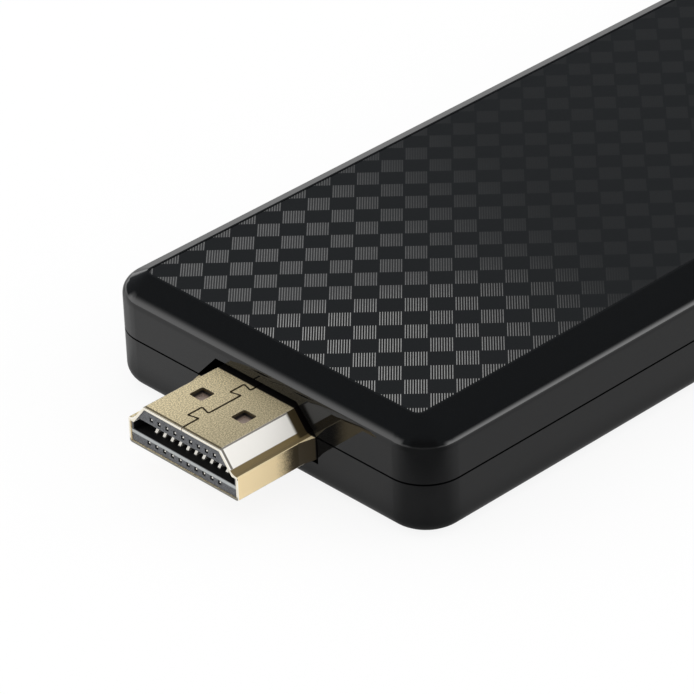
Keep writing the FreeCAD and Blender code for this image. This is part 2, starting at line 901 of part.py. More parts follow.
def video_plug_shell():
    body = plug_part("video_plug_shell")
    top = of("plug_height")
    outline = polygon(sketch_in(body, "outline", "YZ_Plane"), plug_outline(nothing))
    tube = pad(body, "tube", outline, plug_length)
    base = fillet(body, "base_round", tube, lengthwise_at(nothing), of("plug_base_round"))
    ledge = of("plug_side_height")
    foot = lengthwise_at(ledge, of("plug_foot_width") / 2)
    hollow = fillet(body, "ledge_round", base, foot, of("plug_ledge_round"))
    brink = lengthwise_at(ledge, of("plug_width") / 2)
    brink_round = fillet(body, "ledge_edge", hollow, brink, of("plug_ledge_edge"))
    crown = fillet(body, "top_round", brink_round, lengthwise_at(top), of("plug_top_round"))
    fillet(body, "lip_round", crown, at_tip, of("plug_lip_round"))

    bore = sketch_in(body, "bore_profile", "YZ_Plane", away=-1)
    pocket(body, "bore", polygon(bore, plug_outline(of("plug_plate"))), plug_length + 2)

    roof_low = top - of("plug_plate") - 0.1
    windows = sketch_in(body, "window_profile", away=roof_low)
    low = of("plug_window_from_tip")
    half = of("plug_window") / 2
    for centre in (-of("plug_window_spread") / 2, of("plug_window_spread") / 2):
        rectangle(windows, low, centre - half, low + of("plug_window"), centre + half)
    pocket(body, "windows", windows, of("plug_plate") + 1)

    seam = polygon(sketch_in(body, "seam_profile", away=roof_low), seam_outline())
    slit = pocket(body, "seam", seam, of("plug_plate") + 1)
    corners = fillet(body, "cut_corners", slit, upright_in_crown, of("cut_corner_round"))
    chamfer(body, "cut_edges", corners, cut_in_crown, of("plug_cut_edge"))

    # Each side spreads outwards in front of the housing and runs on a little way into it.
    outer = of("plug_width") / 2
    spread = outer + of("plug_flare")
    start = of("plug_reach") - of("plug_flare_length")
    end = of("plug_reach") + 0.5
    flares = sketch_in(body, "flare_profile", away=of("plug_base_round"))
    for side in (-1, 1):
        corners = [(start, outer), (of("plug_reach"), spread), (end, spread), (end, outer - 0.1)]
        corners.append((start, outer - 0.1))
        polygon(flares, [(x, y * side) for x, y in corners])
    pad(body, "flares", flares, of("plug_side_height") - of("plug_base_round"))

    # A leg on each side runs back into a slot in the circuit board.
    leg_top = of("plug_side_height") - of("plug_plate")
    inner = outer - of("plug_plate")
    legs = sketch_in(body, "leg_profile", away=leg_top - of("leg_height"))
    for low_y, high_y in ((-outer, -inner), (inner, outer)):
        rectangle(legs, plug_length - 0.5, low_y, insulator_end + of("leg_length"), high_y)
    pad(body, "legs", legs, of("leg_height"))


def contact_rows():
    # Each row: its count, the low side of its strips, the low side of their feet on the board, and
    # the way that they face.
    mid = of("plug_height") / 2
    half_board = of("board_thickness") / 2
    lower_low = of("cavity_low") + of("contact_rise") - of("contact_thickness")
    upper_low = of("cavity_low") + of("cavity_height") - of("contact_rise")
    lower_foot = mid - half_board - of("contact_thickness")
    upper_foot = mid + half_board
    return {
        "lower": (of("lower_contact_count"), lower_low, lower_foot, 1),
        "upper": (of("upper_contact_count"), upper_low, upper_foot, -1),
    }


def video_plug_insulator():
    body = plug_part("video_plug_insulator")
    inset = of("plug_plate") + of("insulator_gap")
    outline = sketch_in(body, "outline", "YZ_Plane", away=of("insulator_setback"))
    outline = polygon(outline, plug_outline(inset))
    pad(body, "block", outline, insulator_end - of("insulator_setback"))

    half = of("cavity_width") / 2
    low = of("cavity_low")
    high = low + of("cavity_height")
    corner = of("cavity_chamfer")
    right = [(half, low), (half, high - corner), (half - corner, high)]
    left = [(-y, z) for y, z in reversed(right)]
    cavity = polygon(sketch_in(body, "cavity_profile", "YZ_Plane", away=-1), right + left)
    pocket(body, "cavity", cavity, of("cavity_depth") + of("insulator_setback") + 1)

    keyhole_heights = {"lower": of("lower_keyhole_height"), "upper": of("upper_keyhole_height")}
    for row_name, (count, strip_low, _foot, _facing) in contact_rows().items():
        first_y = -of("contact_pitch") * (count - 1) / 2
        side = of("keyhole") / 2
        height = keyhole_heights[row_name]
        hole = box(
            body,
            row_name + "_keyhole",
            (-1, first_y - side, height - side),
            (of("insulator_setback") + of("keyhole_depth"), first_y + side, height + side),
            cut=True,
        )
        row_of(body, row_name + "_keyholes", hole, "Y_Axis", of("contact_pitch"), count)
        gap = of("contact_clearance")
        side = of("contact_width") / 2 + gap
        channel = box(
            body,
            row_name + "_channel",
            (of("contact_setback") - gap, first_y - side, strip_low - gap),
            (insulator_end + 1, first_y + side, strip_low + of("contact_thickness") + gap),
            cut=True,
        )
        row_of(body, row_name + "_channels", channel, "Y_Axis", of("contact_pitch"), count)

    # Under each window of the shell the block is hollowed a little.
    low_x = of("plug_window_from_tip")
    half = of("plug_window") / 2
    floor_z = of("plug_height") - inset - of("window_pocket")
    pockets = sketch_in(body, "window_pocket_profile", away=floor_z)
    for centre in (-of("plug_window_spread") / 2, of("plug_window_spread") / 2):
        rectangle(pockets, low_x, centre - half, low_x + of("plug_window"), centre + half)
    pocket(body, "window_pockets", pockets, of("window_pocket") + 1)


def video_plug_contacts():
    for row_name, (count, strip_low, foot_low, facing) in contact_rows().items():
        body = plug_part("video_plug_%s_contacts" % row_name)
        first_y = -of("contact_pitch") * (count - 1) / 2
        thick = of("contact_thickness")
        bend = insulator_end + 0.1
        landing = bend + of("contact_jog")
        end = insulator_end + of("contact_foot")
        start = of("contact_setback")
        run = of("contact_nose_run")
        inner = strip_low + thick * (1 + facing) / 2
        outer = strip_low + thick * (1 - facing) / 2
        foot = foot_low + thick * (1 - facing) / 2
        profile = polygon(
            sketch_in(body, "profile", "XZ_Plane", away=-first_y - of("contact_width") / 2),
            [
                (start, outer),
                (bend, outer),
                (landing, foot),
                (end, foot),
                (end, foot + thick * facing),
                (landing, foot + thick * facing),
                (bend, inner),
                (start + run * 2, inner),
                (start + run, inner + of("contact_nose_rise") * facing),
                (start, inner),
            ],
        )
        strip = pad(body, "strip", profile, of("contact_width"))
        row_of(body, "strips", strip, "Y_Axis", of("contact_pitch"), count)


def main_board():
    body = sub_part("main_board", board_mid, 0, board_low)
    sketch = sketch_in(body, "outline")
    rounded(sketch, board_length, board_width, inner_radius - of("board_gap"))
    pad(body, "sheet", sketch, of("board_thickness"))

    gap = of("port_gap")
    cuts = sketch_in(body, "cut_profile", away=-1)
    start = host_inner_x - board_mid - of("host_tail_gap")
    half = of("host_width") / 2 + gap
    rectangle(cuts, start, -half, board_length / 2 + 1, half)
    gap = of("leg_clearance")
    outer = of("plug_width") / 2
    inner = outer - of("plug_plate")
    end = -board_length / 2 + of("leg_length") + gap
    for low_y, high_y in ((-outer, -inner), (inner, outer)):
        shift = of("plug_shift")
        rectangle(cuts, -board_length / 2 - 1, low_y + shift - gap, end, high_y + shift + gap)
    circles(cuts, screw_places, of("screw_hole"))
    pocket(body, "cuts", cuts, of("board_thickness") + 2)


def chip(label, x, y, length, width, height):
    # A flat package with a bevelled top and a dimple at its first corner.
    body = sub_part(label, x, y, board_top)
    package = box(body, "package", (-length / 2, -width / 2, 0), (length / 2, width / 2, height))
    chamfer(body, "edge", package, at_height(height), of("chip_chamfer"))
    dot_x = of("chip_dot") * 1.5 - length / 2
    dot_y = width / 2 - of("chip_dot") * 1.5
    depth = of("chip_dot_depth")
    drum(body, "dot", dot_x, dot_y, height - depth, of("chip_dot"), depth + 1, cut=True)


def chips():
    size = of("processor_size")
    chip("processor", processor_x, nothing, size, size, of("processor_height"))
    y = -of("flash_shift")
    chip("flash_chip", flash_x, y, of("flash_length"), of("flash_width"), of("flash_height"))
    size = of("power_chip_size")
    chip("power_chip", flash_x, of("power_chip_shift"), size, size, of("power_chip_height"))


def memory_chips():
    packages = []
    x = memory_x
    half_x = of("memory_length") / 2
    half_y = of("memory_width") / 2
    for face, low in (("top", board_top), ("under", board_low - of("memory_height"))):
        for side in (-1, 1):
            y = of("memory_spread") / 2 * side
            name = "memory_chip_%s_%s" % (face, "left" if side < 0 else "right")
            high = low + of("memory_height")
            packages.append(block(name, (x - half_x, y - half_y, low), (x + half_x, y + half_y, high)))
    cluster("memory_chips", packages)


def small_parts():
    half = of("inductor_size") / 2
    low_y = -of("inductor_pitch") * (of("inductor_count") - 1) / 2
    tails = host_inner_x - of("host_tail_gap") - of("host_foot")
    body = sub_part("power_inductors", tails - of("inductor_gap") - half, 0, board_top)
    coil = box(body, "coil", (-half, low_y - half, 0), (half, low_y + half, of("inductor_height")))
    row_of(body, "coils", coil, "Y_Axis", of("inductor_pitch"), of("inductor_count"))

    half = of("capacitor_width") / 2
    low_x = -of("capacitor_pitch") * (of("capacitor_count") - 1) / 2
    body = sub_part("capacitors", processor_x, -of("capacitor_shift"), board_top)
    length = of("capacitor_length") / 2
    first = box(body, "first", (low_x - half, -length, 0), (low_x + half, length, of("capacitor_width")))
    row_of(body, "row", first, "X_Axis", of("capacitor_pitch"), of("capacitor_count"))

    half_x = of("crystal_length") / 2
    half_y = of("crystal_width") / 2
    cans = []
    low_y = of("crystal_shift") - half_y
    high_y = of("crystal_shift") + half_y
    for name in ("main_crystal", "radio_crystal"):
        x = along_board(name + "_share")
        cans.append(block(name, (x - half_x, low_y, 0), (x + half_x, high_y, of("crystal_height"))))
    cluster("crystals", cans, 0, 0, board_top)


def cooling():
    low = board_top + of("processor_height")
    half = of("processor_size") / 2
    body = sub_part("thermal_pad", processor_x, 0, low)
    box(body, "sheet", (-half, -half, 0), (half, half, of("pad_thickness")))

    body = sub_part("heat_spreader", processor_x, 0, low + of("pad_thickness"))
    half_x = of("spreader_length") / 2
    half_y = of("spreader_width") / 2
    box(body, "plate", (-half_x, -half_y, 0), (half_x, half_y, of("spreader_thickness")))
    first_x = -of("spreader_slot_pitch") * (of("spreader_slot_count") - 1) / 2
    half = of("spreader_slot") / 2
    depth = of("spreader_slot_depth")
    slot = box(
        body,
        "slot",
        (first_x - half, -half_y - 1, of("spreader_thickness") - depth),
        (first_x + half, half_y + 1, of("spreader_thickness") + 1),
        cut=True,
    )
    row_of(body, "slots", slot, "X_Axis", of("spreader_slot_pitch"), of("spreader_slot_count"))


def wireless():
    x = board_front + of("wireless_from_front")
    antenna_y = -board_width / 2 + of("antenna_inset")
    half = of("wireless_size") / 2
    y = antenna_y + of("antenna_width") + of("wireless_gap") + half
    body = sub_part("wireless_module", x, y, board_top)
    box(body, "sheet", (-half, -half, 0), (half, half, of("wireless_board")))

    half = of("shield_size") / 2
    plate = of("shield_plate")
    body = sub_part("wireless_shield", x, y, board_top + of("wireless_board"))
    box(body, "can", (-half, -half, 0), (half, half, of("shield_height")))
    inner = half - plate
    box(body, "inside", (-inner, -inner, -1), (inner, inner, of("shield_height") - plate), cut=True)

    half_x = of("antenna_length") / 2
    body = sub_part("chip_antenna", x, antenna_y, board_top)
    box(body, "block", (-half_x, 0, 0), (half_x, of("antenna_width"), of("antenna_height")))


def board_screws():
    screws = []
    head = of("screw_head")
    height = of("screw_head_height")
    half = of("screw_slot") / 2
    for number, (x, y) in enumerate(screw_places, start=1):
        whole = document.addObject("Part::Fuse", "screw_%d_blank" % number)
        whole.Base = rod("screw_%d_head" % number, x, y, 0, head, height)
        shank = rod("screw_%d_shank" % number, x, y, 0, of("screw_shank"), of("screw_length") + 0.2)
        bind(shank, "Placement.Base.z", -of("screw_length"))
        whole.Tool = shank
        screw = document.addObject("Part::Cut", "screw_%d" % number)
        screw.Base = whole
        slot_low = height - of("screw_slot_depth")
        low = (x - head, y - half, slot_low)
        screw.Tool = block("screw_%d_slot" % number, low, (x + head, y + half, height + 1))
        screws.append(screw)
    cluster("board_screws", screws, board_mid, 0, board_top)


def host_port():
    width = of("host_width")
    height = of("host_height")
    plate = of("host_plate")
    body = sub_part("host_port_shell", host_inner_x, 0, host_low)
    outer = sketch_in(body, "outline", "YZ_Plane", 0, height / 2)
    pad(body, "tube", rounded(outer, width, height, of("host_round")), of("host_depth"))
    bore = sketch_in(body, "bore_profile", "YZ_Plane", 0, height / 2, -1)
    rounded(bore, width - plate * 2, height - plate * 2, of("host_round") - plate)
    pocket(body, "bore", bore, of("host_depth") + 2)
    board_z = board_top - host_low
    legs = sketch_in(body, "leg_profile", away=board_z)
    leg_x = of("host_block")
    reach = width / 2 + of("host_leg_reach")
    for low_y, high_y in ((-reach, plate / 2 - width / 2), (width / 2 - plate / 2, reach)):
        rectangle(legs, leg_x, low_y, leg_x + of("host_leg_length"), high_y)
    pad(body, "legs", legs, plate)

    fit = of("port_fit")
    inset = plate + fit
    body = sub_part("host_port_tongue", host_inner_x, 0, host_low)
    block_outline = sketch_in(body, "block_profile", "YZ_Plane", 0, height / 2)
    rounded(block_outline, width - inset * 2, height - inset * 2, of("host_round") - inset)
    pad(body, "block", block_outline, of("host_block"))
    tongue_top = height - plate - of("host_tongue_gap")
    tongue_low = tongue_top - of("host_tongue_thickness")
    half = of("host_tongue_width") / 2
    tip = of("host_block") + of("host_tongue_length")
    box(body, "blade", (0, -half, tongue_low), (tip, half, tongue_top))
    thick = of("host_contact_thickness")
    half = of("host_contact_width") / 2
    gap = of("contact_clearance")
    strip_tip = tip - thick
    strip_ys = [of("host_outer_pitch") / 2, of("host_inner_pitch") / 2]
    strip_ys = [-y for y in strip_ys] + strip_ys[::-1]
    channels = sketch_in(body, "channel_profile", away=tongue_low - gap)
    for y in strip_ys:
        rectangle(channels, -1, y - half - gap, strip_tip + gap, y + half + gap)
    pocket(body, "channels", channels, thick + gap * 2)

    members = []
    back = -of("tail_gap")
    end = -of("host_tail_gap") - of("host_foot")
    strip_top = tongue_low + thick
    foot_top = board_z + thick
    for number, y in enumerate(strip_ys, start=1):
        label = "host_contact_%d" % number
        low_y = y - half
        high_y = y + half
        strip = block(label + "_strip", (back - thick, low_y, tongue_low), (strip_tip, high_y, strip_top))
        leg = block(label + "_leg", (back - thick, low_y, tongue_low), (back, high_y, foot_top))
        foot = block(label + "_foot", (end, low_y, board_z), (back, high_y, foot_top))
        whole = document.addObject("Part::MultiFuse", label)
        whole.Shapes = [strip, leg, foot]
        members.append(whole)
    cluster("host_port_contacts", members, host_inner_x, 0, host_low)


def micro_outline(inset):
    # Wide above, with both lower corners cut off at a slant.
    run = (of("micro_width") - of("micro_base_width")) / 2
    drop = of("micro_height") - of("micro_side_height")
    slant = (run * run + drop * drop).root()
    side = of("micro_width") / 2 - inset
    side_low = drop + inset * (slant - drop) / run
    foot = of("micro_base_width") / 2 + inset * run / drop - inset * slant / drop
    high = of("micro_height") - inset
    right = [(foot, inset), (side, side_low), (side, high)]
    return [(-x, z) for x, z in reversed(right)] + right


def micro_port(prefix, x):
    # The mouth of the port lies in the local plane Y = 0, and the port runs back from there.
    mouth = half_width - of("micro_recess")
    depth = of("micro_depth")
    plate = of("micro_plate")
    body = sub_part(prefix + "_port_shell", x, mouth, board_top)
    outline = polygon(sketch_in(body, "outline", "XZ_Plane"), micro_outline(nothing))
    pad(body, "tube", outline, depth)
    bore = polygon(sketch_in(body, "bore_profile", "XZ_Plane", away=-1), micro_outline(plate))
    pocket(body, "bore", bore, depth + 2)

    fit = of("port_fit")
    body = sub_part(prefix + "_port_tongue", x, mouth, board_top)
    half = of("micro_base_width") / 2 - plate - fit
    block_y = of("micro_block") - depth
    box(body, "block", (-half, -depth, plate + fit), (half, block_y, of("micro_height") - plate - fit))
    half = of("micro_tongue_width") / 2
    tip = block_y + of("micro_tongue_length")
    tongue_low = (of("micro_height") - of("micro_tongue_thickness")) / 2
    tongue_top = tongue_low + of("micro_tongue_thickness")
    box(body, "blade", (-half, -depth, tongue_low), (half, tip, tongue_top))
    thick = of("micro_contact_thickness")
    gap = of("contact_clearance")
    first_x = -of("micro_contact_pitch") * (of("micro_contact_count") - 1) / 2
    half = of("micro_contact_width") / 2
    channel = box(
        body,
        "channel",
        (first_x - half - gap, -depth - 1, tongue_low - gap),
        (first_x + half + gap, tip - thick + gap, tongue_low + thick + gap),
        cut=True,
    )
    row_of(body, "channels", channel, "X_Axis", of("micro_contact_pitch"), of("micro_contact_count"))

    body = sub_part(prefix + "_port_contacts", x, mouth, board_top)
    near_leg = -depth - of("tail_gap")
    far_leg = near_leg - thick
    end = far_leg - of("micro_foot")
    profile = polygon(
        sketch_in(body, "profile", "YZ_Plane", away=first_x - half),
        [
            (tip - thick, tongue_low),
            (tip - thick, tongue_low + thick),
            (far_leg, tongue_low + thick),
            (far_leg, thick),
            (end, thick),
            (end, nothing),
            (near_leg, nothing),
            (near_leg, tongue_low),
        ],
    )
    strip = pad(body, "strip", profile, of("micro_contact_width"))
    row_of(body, "strips", strip, "X_Axis", of("micro_contact_pitch"), of("micro_contact_count"))


def card_socket():
    # It hangs under the board, with its mouth in the local plane Y = 0 at the board's edge.
    plate = of("card_plate")
    depth = of("card_socket_depth")
    height = of("card_socket_height")
    half = of("card_socket_width") / 2
    body = sub_part("card_socket_cover", card_x, board_width / 2, board_low)
    box(body, "form", (-half, -depth, -height), (half, 0, 0))
    inner = half - plate
    box(body, "inside", (-inner, plate - depth, plate - height), (inner, 1, 1), cut=True)

    fit = of("port_fit")
    inner = inner - fit
    base_low = -(height - plate - of("card_gap"))
    back = plate - depth + of("card_tail_room")
    body = sub_part("card_socket_base", card_x, board_width / 2, board_low)
    box(body, "form", (-inner, back, plate - height + fit), (inner, 0, 0))
    half_card = of("card_width") / 2 + fit
    box(body, "card_room", (-half_card, back - 1, -height), (half_card, 1, base_low), cut=True)

    thick = of("card_contact_thickness")
    first_x = -of("card_contact_pitch") * (of("card_contact_count") - 1) / 2
    half = of("card_contact_width") / 2
    body = sub_part("card_socket_contacts", card_x, board_width / 2, board_low)
    near_leg = back - of("tail_gap")
    far_leg = near_leg - thick
    front = back + of("card_contact_length")
    profile = polygon(
        sketch_in(body, "profile", "YZ_Plane", away=first_x - half),
        [
            (front, base_low),
            (near_leg, base_low),
            (near_leg, nothing),
            (far_leg, nothing),
            (far_leg, base_low - thick),
            (front, base_low - thick),
        ],
    )
    strip = pad(body, "strip", profile, of("card_contact_width"))
    row_of(body, "strips", strip, "X_Axis", of("card_contact_pitch"), of("card_contact_count"))


def recovery_button():
    # A push switch under the board. A pin through the hole in the floor presses the plunger upwards.
    place = (button_x, -of("button_shift"), board_low)
    half = of("button_size") / 2
    low = -of("button_height")
    body = sub_part("recovery_button_base", *place)
    box(body, "block", (-half, -half, low), (half, half, 0))
    well_top = -of("button_well_depth")
    drum(body, "well", 0, 0, low - 1, of("button_well"), well_top - low + 1, cut=True)

    body = sub_part("recovery_button_cover", *place)
    cover_low = low - of("button_cover")
    box(body, "plate", (-half, -half, cover_low), (half, half, low))
    drum(body, "hole", 0, 0, cover_low - 1, of("button_cover_hole"), of("button_cover") + 2, cut=True)

    flange_top = low + of("plunger_flange_height")
    stem_low = cover_low - of("plunger_reach")
    body = sub_part("recovery_button_plunger", *place)
    drum(body, "stem", 0, 0, stem_low, of("plunger_width"), low - stem_low + 0.1)
    drum(body, "flange", 0, 0, low, of("plunger_flange"), of("plunger_flange_height"))

    # The snap dome: a shallow cone with a flat middle, its rim on the bottom of the well.
    body = sub_part("recovery_button_dome", *place)
    peak = flange_top + of("dome_gap")
    thick = of("dome_plate")
    rim = of("dome_width") / 2
    flat = of("dome_top_width") / 2
    profile = polygon(
        sketch_in(body, "profile", "XZ_Plane"),
        [
            (nothing, peak),
            (flat, peak),
            (rim, well_top - thick),
            (rim, well_top),
            (rim - thick * 2, well_top),
            (flat, peak + thick),
            (nothing, peak + thick),
        ],
    )
    turned = body.newObject("PartDesign::Revolution", "recovery_button_dome_form")
    turned.Profile = profile
    turned.ReferenceAxis = (profile, ["V_Axis"])
    turned.Angle = 360


def status_light():
    x = board_rear - of("led_length") - of("port_gap")
    body = sub_part("status_led", x, of("led_shift"), board_top)
    half = of("led_width") / 2
    box(body, "lamp", (0, -half, 0), (of("led_length"), half, of("led_height")))

    body = sub_part("light_pipe", rear_x - of("wall"), of("led_shift"), pipe_z)
    thick = of("pipe_flange_thickness")
    drum(body, "flange", -thick, 0, 0, of("pipe_flange"), thick, axis="x")
    drum(body, "rod", 0, 0, 0, of("pipe_width"), of("wall"), axis="x")


upper_shell()
lower_shell()
top_panel()
underside_label()
video_plug_shell()
video_plug_insulator()
video_plug_contacts()
main_board()
chips()
memory_chips()
small_parts()
cooling()
wireless()
board_screws()
host_port()
micro_port("power", power_port_x)
micro_port("data", data_port_x)
card_socket()
recovery_button()
status_light()


def check_document():
    document.recompute()
    for thing in document.Objects:
        if "Invalid" in thing.State or "Error" in thing.State:
            raise RuntimeError("%s failed: %s" % (thing.Name, thing.State))
        if thing.TypeId == "PartDesign::Pocket" or thing.TypeId.startswith("PartDesign::Subtractive"):
            if thing.Shape.Volume > thing.BaseFeature.Shape.Volume - 1e-6:
                raise RuntimeError(thing.Name + " cuts nothing")
    for part in sub_parts:
        if part.Shape.isNull() or not part.Shape.isValid():
            raise RuntimeError(part.Label + " has no valid shape")


check_document()
os.makedirs("parts", exist_ok=True)
for part in sub_parts:
    part.Shape.exportStep("parts/" + part.Label + ".step")
    print(part.Label, len(part.Shape.Solids), round(part.Shape.Volume, 2))
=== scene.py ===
import math

import bmesh
import bpy
import numpy as np
from mathutils import Matrix, Vector


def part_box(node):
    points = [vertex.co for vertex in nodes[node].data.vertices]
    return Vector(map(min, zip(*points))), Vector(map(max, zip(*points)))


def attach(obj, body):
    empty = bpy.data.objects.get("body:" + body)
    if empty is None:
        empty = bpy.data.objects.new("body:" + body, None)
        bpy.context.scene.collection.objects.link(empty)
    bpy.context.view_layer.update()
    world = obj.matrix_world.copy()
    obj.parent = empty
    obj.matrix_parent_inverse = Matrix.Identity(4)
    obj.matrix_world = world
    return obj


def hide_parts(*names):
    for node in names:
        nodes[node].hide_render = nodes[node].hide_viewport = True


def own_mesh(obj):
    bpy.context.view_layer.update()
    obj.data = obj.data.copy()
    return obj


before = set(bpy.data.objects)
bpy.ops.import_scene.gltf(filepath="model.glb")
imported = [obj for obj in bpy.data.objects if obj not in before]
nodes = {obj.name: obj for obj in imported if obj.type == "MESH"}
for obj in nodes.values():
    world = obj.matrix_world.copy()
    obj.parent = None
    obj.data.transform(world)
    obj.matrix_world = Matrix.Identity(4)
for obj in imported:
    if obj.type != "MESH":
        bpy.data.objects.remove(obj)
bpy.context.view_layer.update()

# Lengths are in metres: +X runs from the video plug to the rear end, +Z is up.
mm = 0.001
frontWall = -41.6 * mm      # the housing's end wall, which the plug comes out of
print("stage: frame loaded,", len(nodes), "nodes")


# Small helpers for shader trees

def feed(tree, socket, value):
    if isinstance(value, bpy.types.NodeSocket):
        tree.links.new(value, socket)
    else:
        socket.default_value = value


def feedNamed(tree, node, values):
    for name, value in values.items():
        feed(tree, node.inputs[name], value)


def feedInOrder(tree, node, values):
    for socket, value in zip(node.inputs, values):
        feed(tree, socket, value)
    return node.outputs[0]


def addNode(tree, kind, inputs=None, **settings):
    node = tree.nodes.new(kind)
    for name, value in settings.items():
        setattr(node, name, value)
    feedNamed(tree, node, inputs or {})
    return node


def calc(tree, operation, *values):
    return feedInOrder(tree, addNode(tree, "ShaderNodeMath", operation=operation), values)


def product(tree, first, *others):
    for value in others:
        first = calc(tree, "MULTIPLY", first, value)
    return first


def largest(tree, first, *others):
    for value in others:
        first = calc(tree, "MAXIMUM", first, value)
    return first


def inverse(tree, mask):
    return calc(tree, "SUBTRACT", 1.0, mask)


def distanceFrom(tree, value, middle):
    return calc(tree, "ABSOLUTE", calc(tree, "SUBTRACT", value, middle))


def mapTo(tree, value, low, high, newLow, newHigh):
    # Clamped, and smooth at both ends.
    node = addNode(tree, "ShaderNodeMapRange", interpolation_type="SMOOTHSTEP")
    return feedInOrder(tree, node, (value, low, high, newLow, newHigh))


def rising(tree, value, low, high):
    return mapTo(tree, value, low, high, 0.0, 1.0)


def falling(tree, value, low, high):
    return mapTo(tree, value, low, high, 1.0, 0.0)


def band(tree, value, start, end):
    # 1 between a soft start and a soft end, each given as a pair of values.
    return product(tree, rising(tree, value, *start), falling(tree, value, *end))


def mixColor(tree, share, first, second):
    node = addNode(tree, "ShaderNodeMix", data_type="RGBA")
    feed(tree, node.inputs[0], share)
    feed(tree, node.inputs[6], first)
    feed(tree, node.inputs[7], second)
    return node.outputs[2]


def layered(tree, color, layers):
    # Each mask lays its own colour over what is there already.
    for mask, layer in layers:
        color = mixColor(tree, mask, color, layer)
    return color


def split(tree, vector):
    return addNode(tree, "ShaderNodeSeparateXYZ", {"Vector": vector}).outputs


def objectPoint(tree):
    return addNode(tree, "ShaderNodeTexCoord").outputs["Object"]


def rgb(red, green, blue):
    return (red, green, blue, 1.0)


def grey(level):
    return rgb(level, level, level)


def tinted(color, share):
    return rgb(*[channel * share for channel in color])


# Shared effects

effects = {
    "grain": {"detail": 2.0, "roughness": 0.6},
    "handling": {"detail": 4.0, "roughness": 0.65, "range": (0.35, 0.7)},
    "brushing": {"detail": 3.0, "roughness": 0.7},
}


def newGroup(name, inputs, output):
    # Inputs are names with their kinds of socket. A group puts out one value.
    group = bpy.data.node_groups.new(name, "ShaderNodeTree")
    for label, kind in inputs.items():
        group.interface.new_socket(label, in_out="INPUT", socket_type=kind)
    group.interface.new_socket(output, in_out="OUTPUT", socket_type="NodeSocketFloat")
    return group, addNode(group, "NodeGroupInput").outputs, addNode(group, "NodeGroupOutput").inputs[0]


def addNoise(tree, point, scale, look):
    inputs = {"Vector": point, "Scale": scale, "Detail": look["detail"], "Roughness": look["roughness"]}
    return addNode(tree, "ShaderNodeTexNoise", inputs).outputs[0]


def makeGrain(look):
    # Fine random bumps, of the size that is given in metres.
    inputs = {"Position": "NodeSocketVector", "Size": "NodeSocketFloat"}
    group, given, result = newGroup("moulded grain", inputs, "Height")
    scale = calc(group, "DIVIDE", 1.0, given["Size"])
    feed(group, result, addNoise(group, given["Position"], scale, look))
    return group


def makeHandling(look):
    # Broad soft patches where hands have touched the surface, broken up by finer ones.
    inputs = {"Position": "NodeSocketVector", "Size": "NodeSocketFloat"}
    group, given, result = newGroup("handling marks", inputs, "Mask")
    scale = calc(group, "DIVIDE", 1.0, given["Size"])
    patches = addNoise(group, given["Position"], scale, look)
    feed(group, result, rising(group, patches, *look["range"]))
    return group


def makeBrushing(look):
    # Long fine scratches along one direction, as on rolled and stamped sheet.
    inputs = {"Position": "NodeSocketVector", "Stretch": "NodeSocketVector"}
    group, given, result = newGroup("rolled sheet", inputs, "Height")
    stretched = addNode(group, "ShaderNodeVectorMath", operation="MULTIPLY")
    point = feedInOrder(group, stretched, (given["Position"], given["Stretch"]))
    feed(group, result, addNoise(group, point, 1.0, look))
    return group


grainGroup = makeGrain(effects["grain"])
handlingGroup = makeHandling(effects["handling"])
brushingGroup = makeBrushing(effects["brushing"])


def placeGroup(tree, group, inputs):
    return addNode(tree, "ShaderNodeGroup", inputs, node_tree=group).outputs[0]


def newFinish(name):
    material = bpy.data.materials.new(name)
    material.use_nodes = True
    tree = material.node_tree
    return material, tree, tree.nodes["Principled BSDF"]


def bumpOf(tree, height, distance):
    return addNode(tree, "ShaderNodeBump", {"Height": height, "Distance": distance}).outputs[0]


plainBasics = {
    "markSize": 6 * mm,
    "toneShift": 0.12,      # how far the colour wanders to either side
    "metallic": 0.0,
    "ior": 1.5,
}


def plainFinish(name, look):
    # One colour that wanders a little, a roughness with handling marks and a fine grain.
    look = {**plainBasics, **look}
    material, tree, shader = newFinish(name)
    point = objectPoint(tree)
    marks = placeGroup(tree, handlingGroup, {"Position": point, "Size": look["markSize"]})
    grain = placeGroup(tree, grainGroup, {"Position": point, "Size": look["grainSize"]})
    darker = tinted(look["color"], 1 - look["toneShift"])
    lighter = tinted(look["color"], 1 + look["toneShift"])
    feedNamed(tree, shader, {
        "Base Color": mixColor(tree, grain, darker, lighter),
        "Roughness": mapTo(tree, marks, 0.0, 1.0, *look["roughness"]),
        "Normal": bumpOf(tree, grain, look["grainDepth"]),
        "Metallic": look["metallic"],
        "IOR": look["ior"],
    })
    return material


sheetBasics = {
    "markSize": 3 * mm,
    "markTone": 0.88,           # share of the colour that is left in a mark
    "lineRange": (0.3, 0.7),    # of the scratches' height, over which the roughness rises
}


def sheetMetal(name, look):
    # Rolled metal: fine scratches along the sheet over a faint mottling.
    look = {**sheetBasics, **look}
    material, tree, shader = newFinish(name)
    point = objectPoint(tree)
    lines = placeGroup(tree, brushingGroup, {"Position": point, "Stretch": look["stretch"]})
    marks = placeGroup(tree, handlingGroup, {"Position": point, "Size": look["markSize"]})
    feedNamed(tree, shader, {
        "Base Color": mixColor(tree, marks, rgb(*look["color"]), tinted(look["color"], look["markTone"])),
        "Roughness": mapTo(tree, lines, *look["lineRange"], *look["roughness"]),
        "Normal": bumpOf(tree, lines, look["lineDepth"]),
        "Metallic": 1.0,
    })
    return material


def dress(material, *names):
    for name in names:
        mesh = nodes[name].data
        mesh.materials.clear()
        mesh.materials.append(material)


# The housing: gloss black plastic

housing = {
    "color": (0.0035, 0.0037, 0.004),
    "roughness": (0.035, 0.06),
    "grainSize": 0.9 * mm,
    "grainDepth": 0.0004 * mm,
    "markSize": 14 * mm,
    "ior": 1.47,
}
dress(plainFinish("gloss black housing", housing), "upper_shell", "lower_shell")


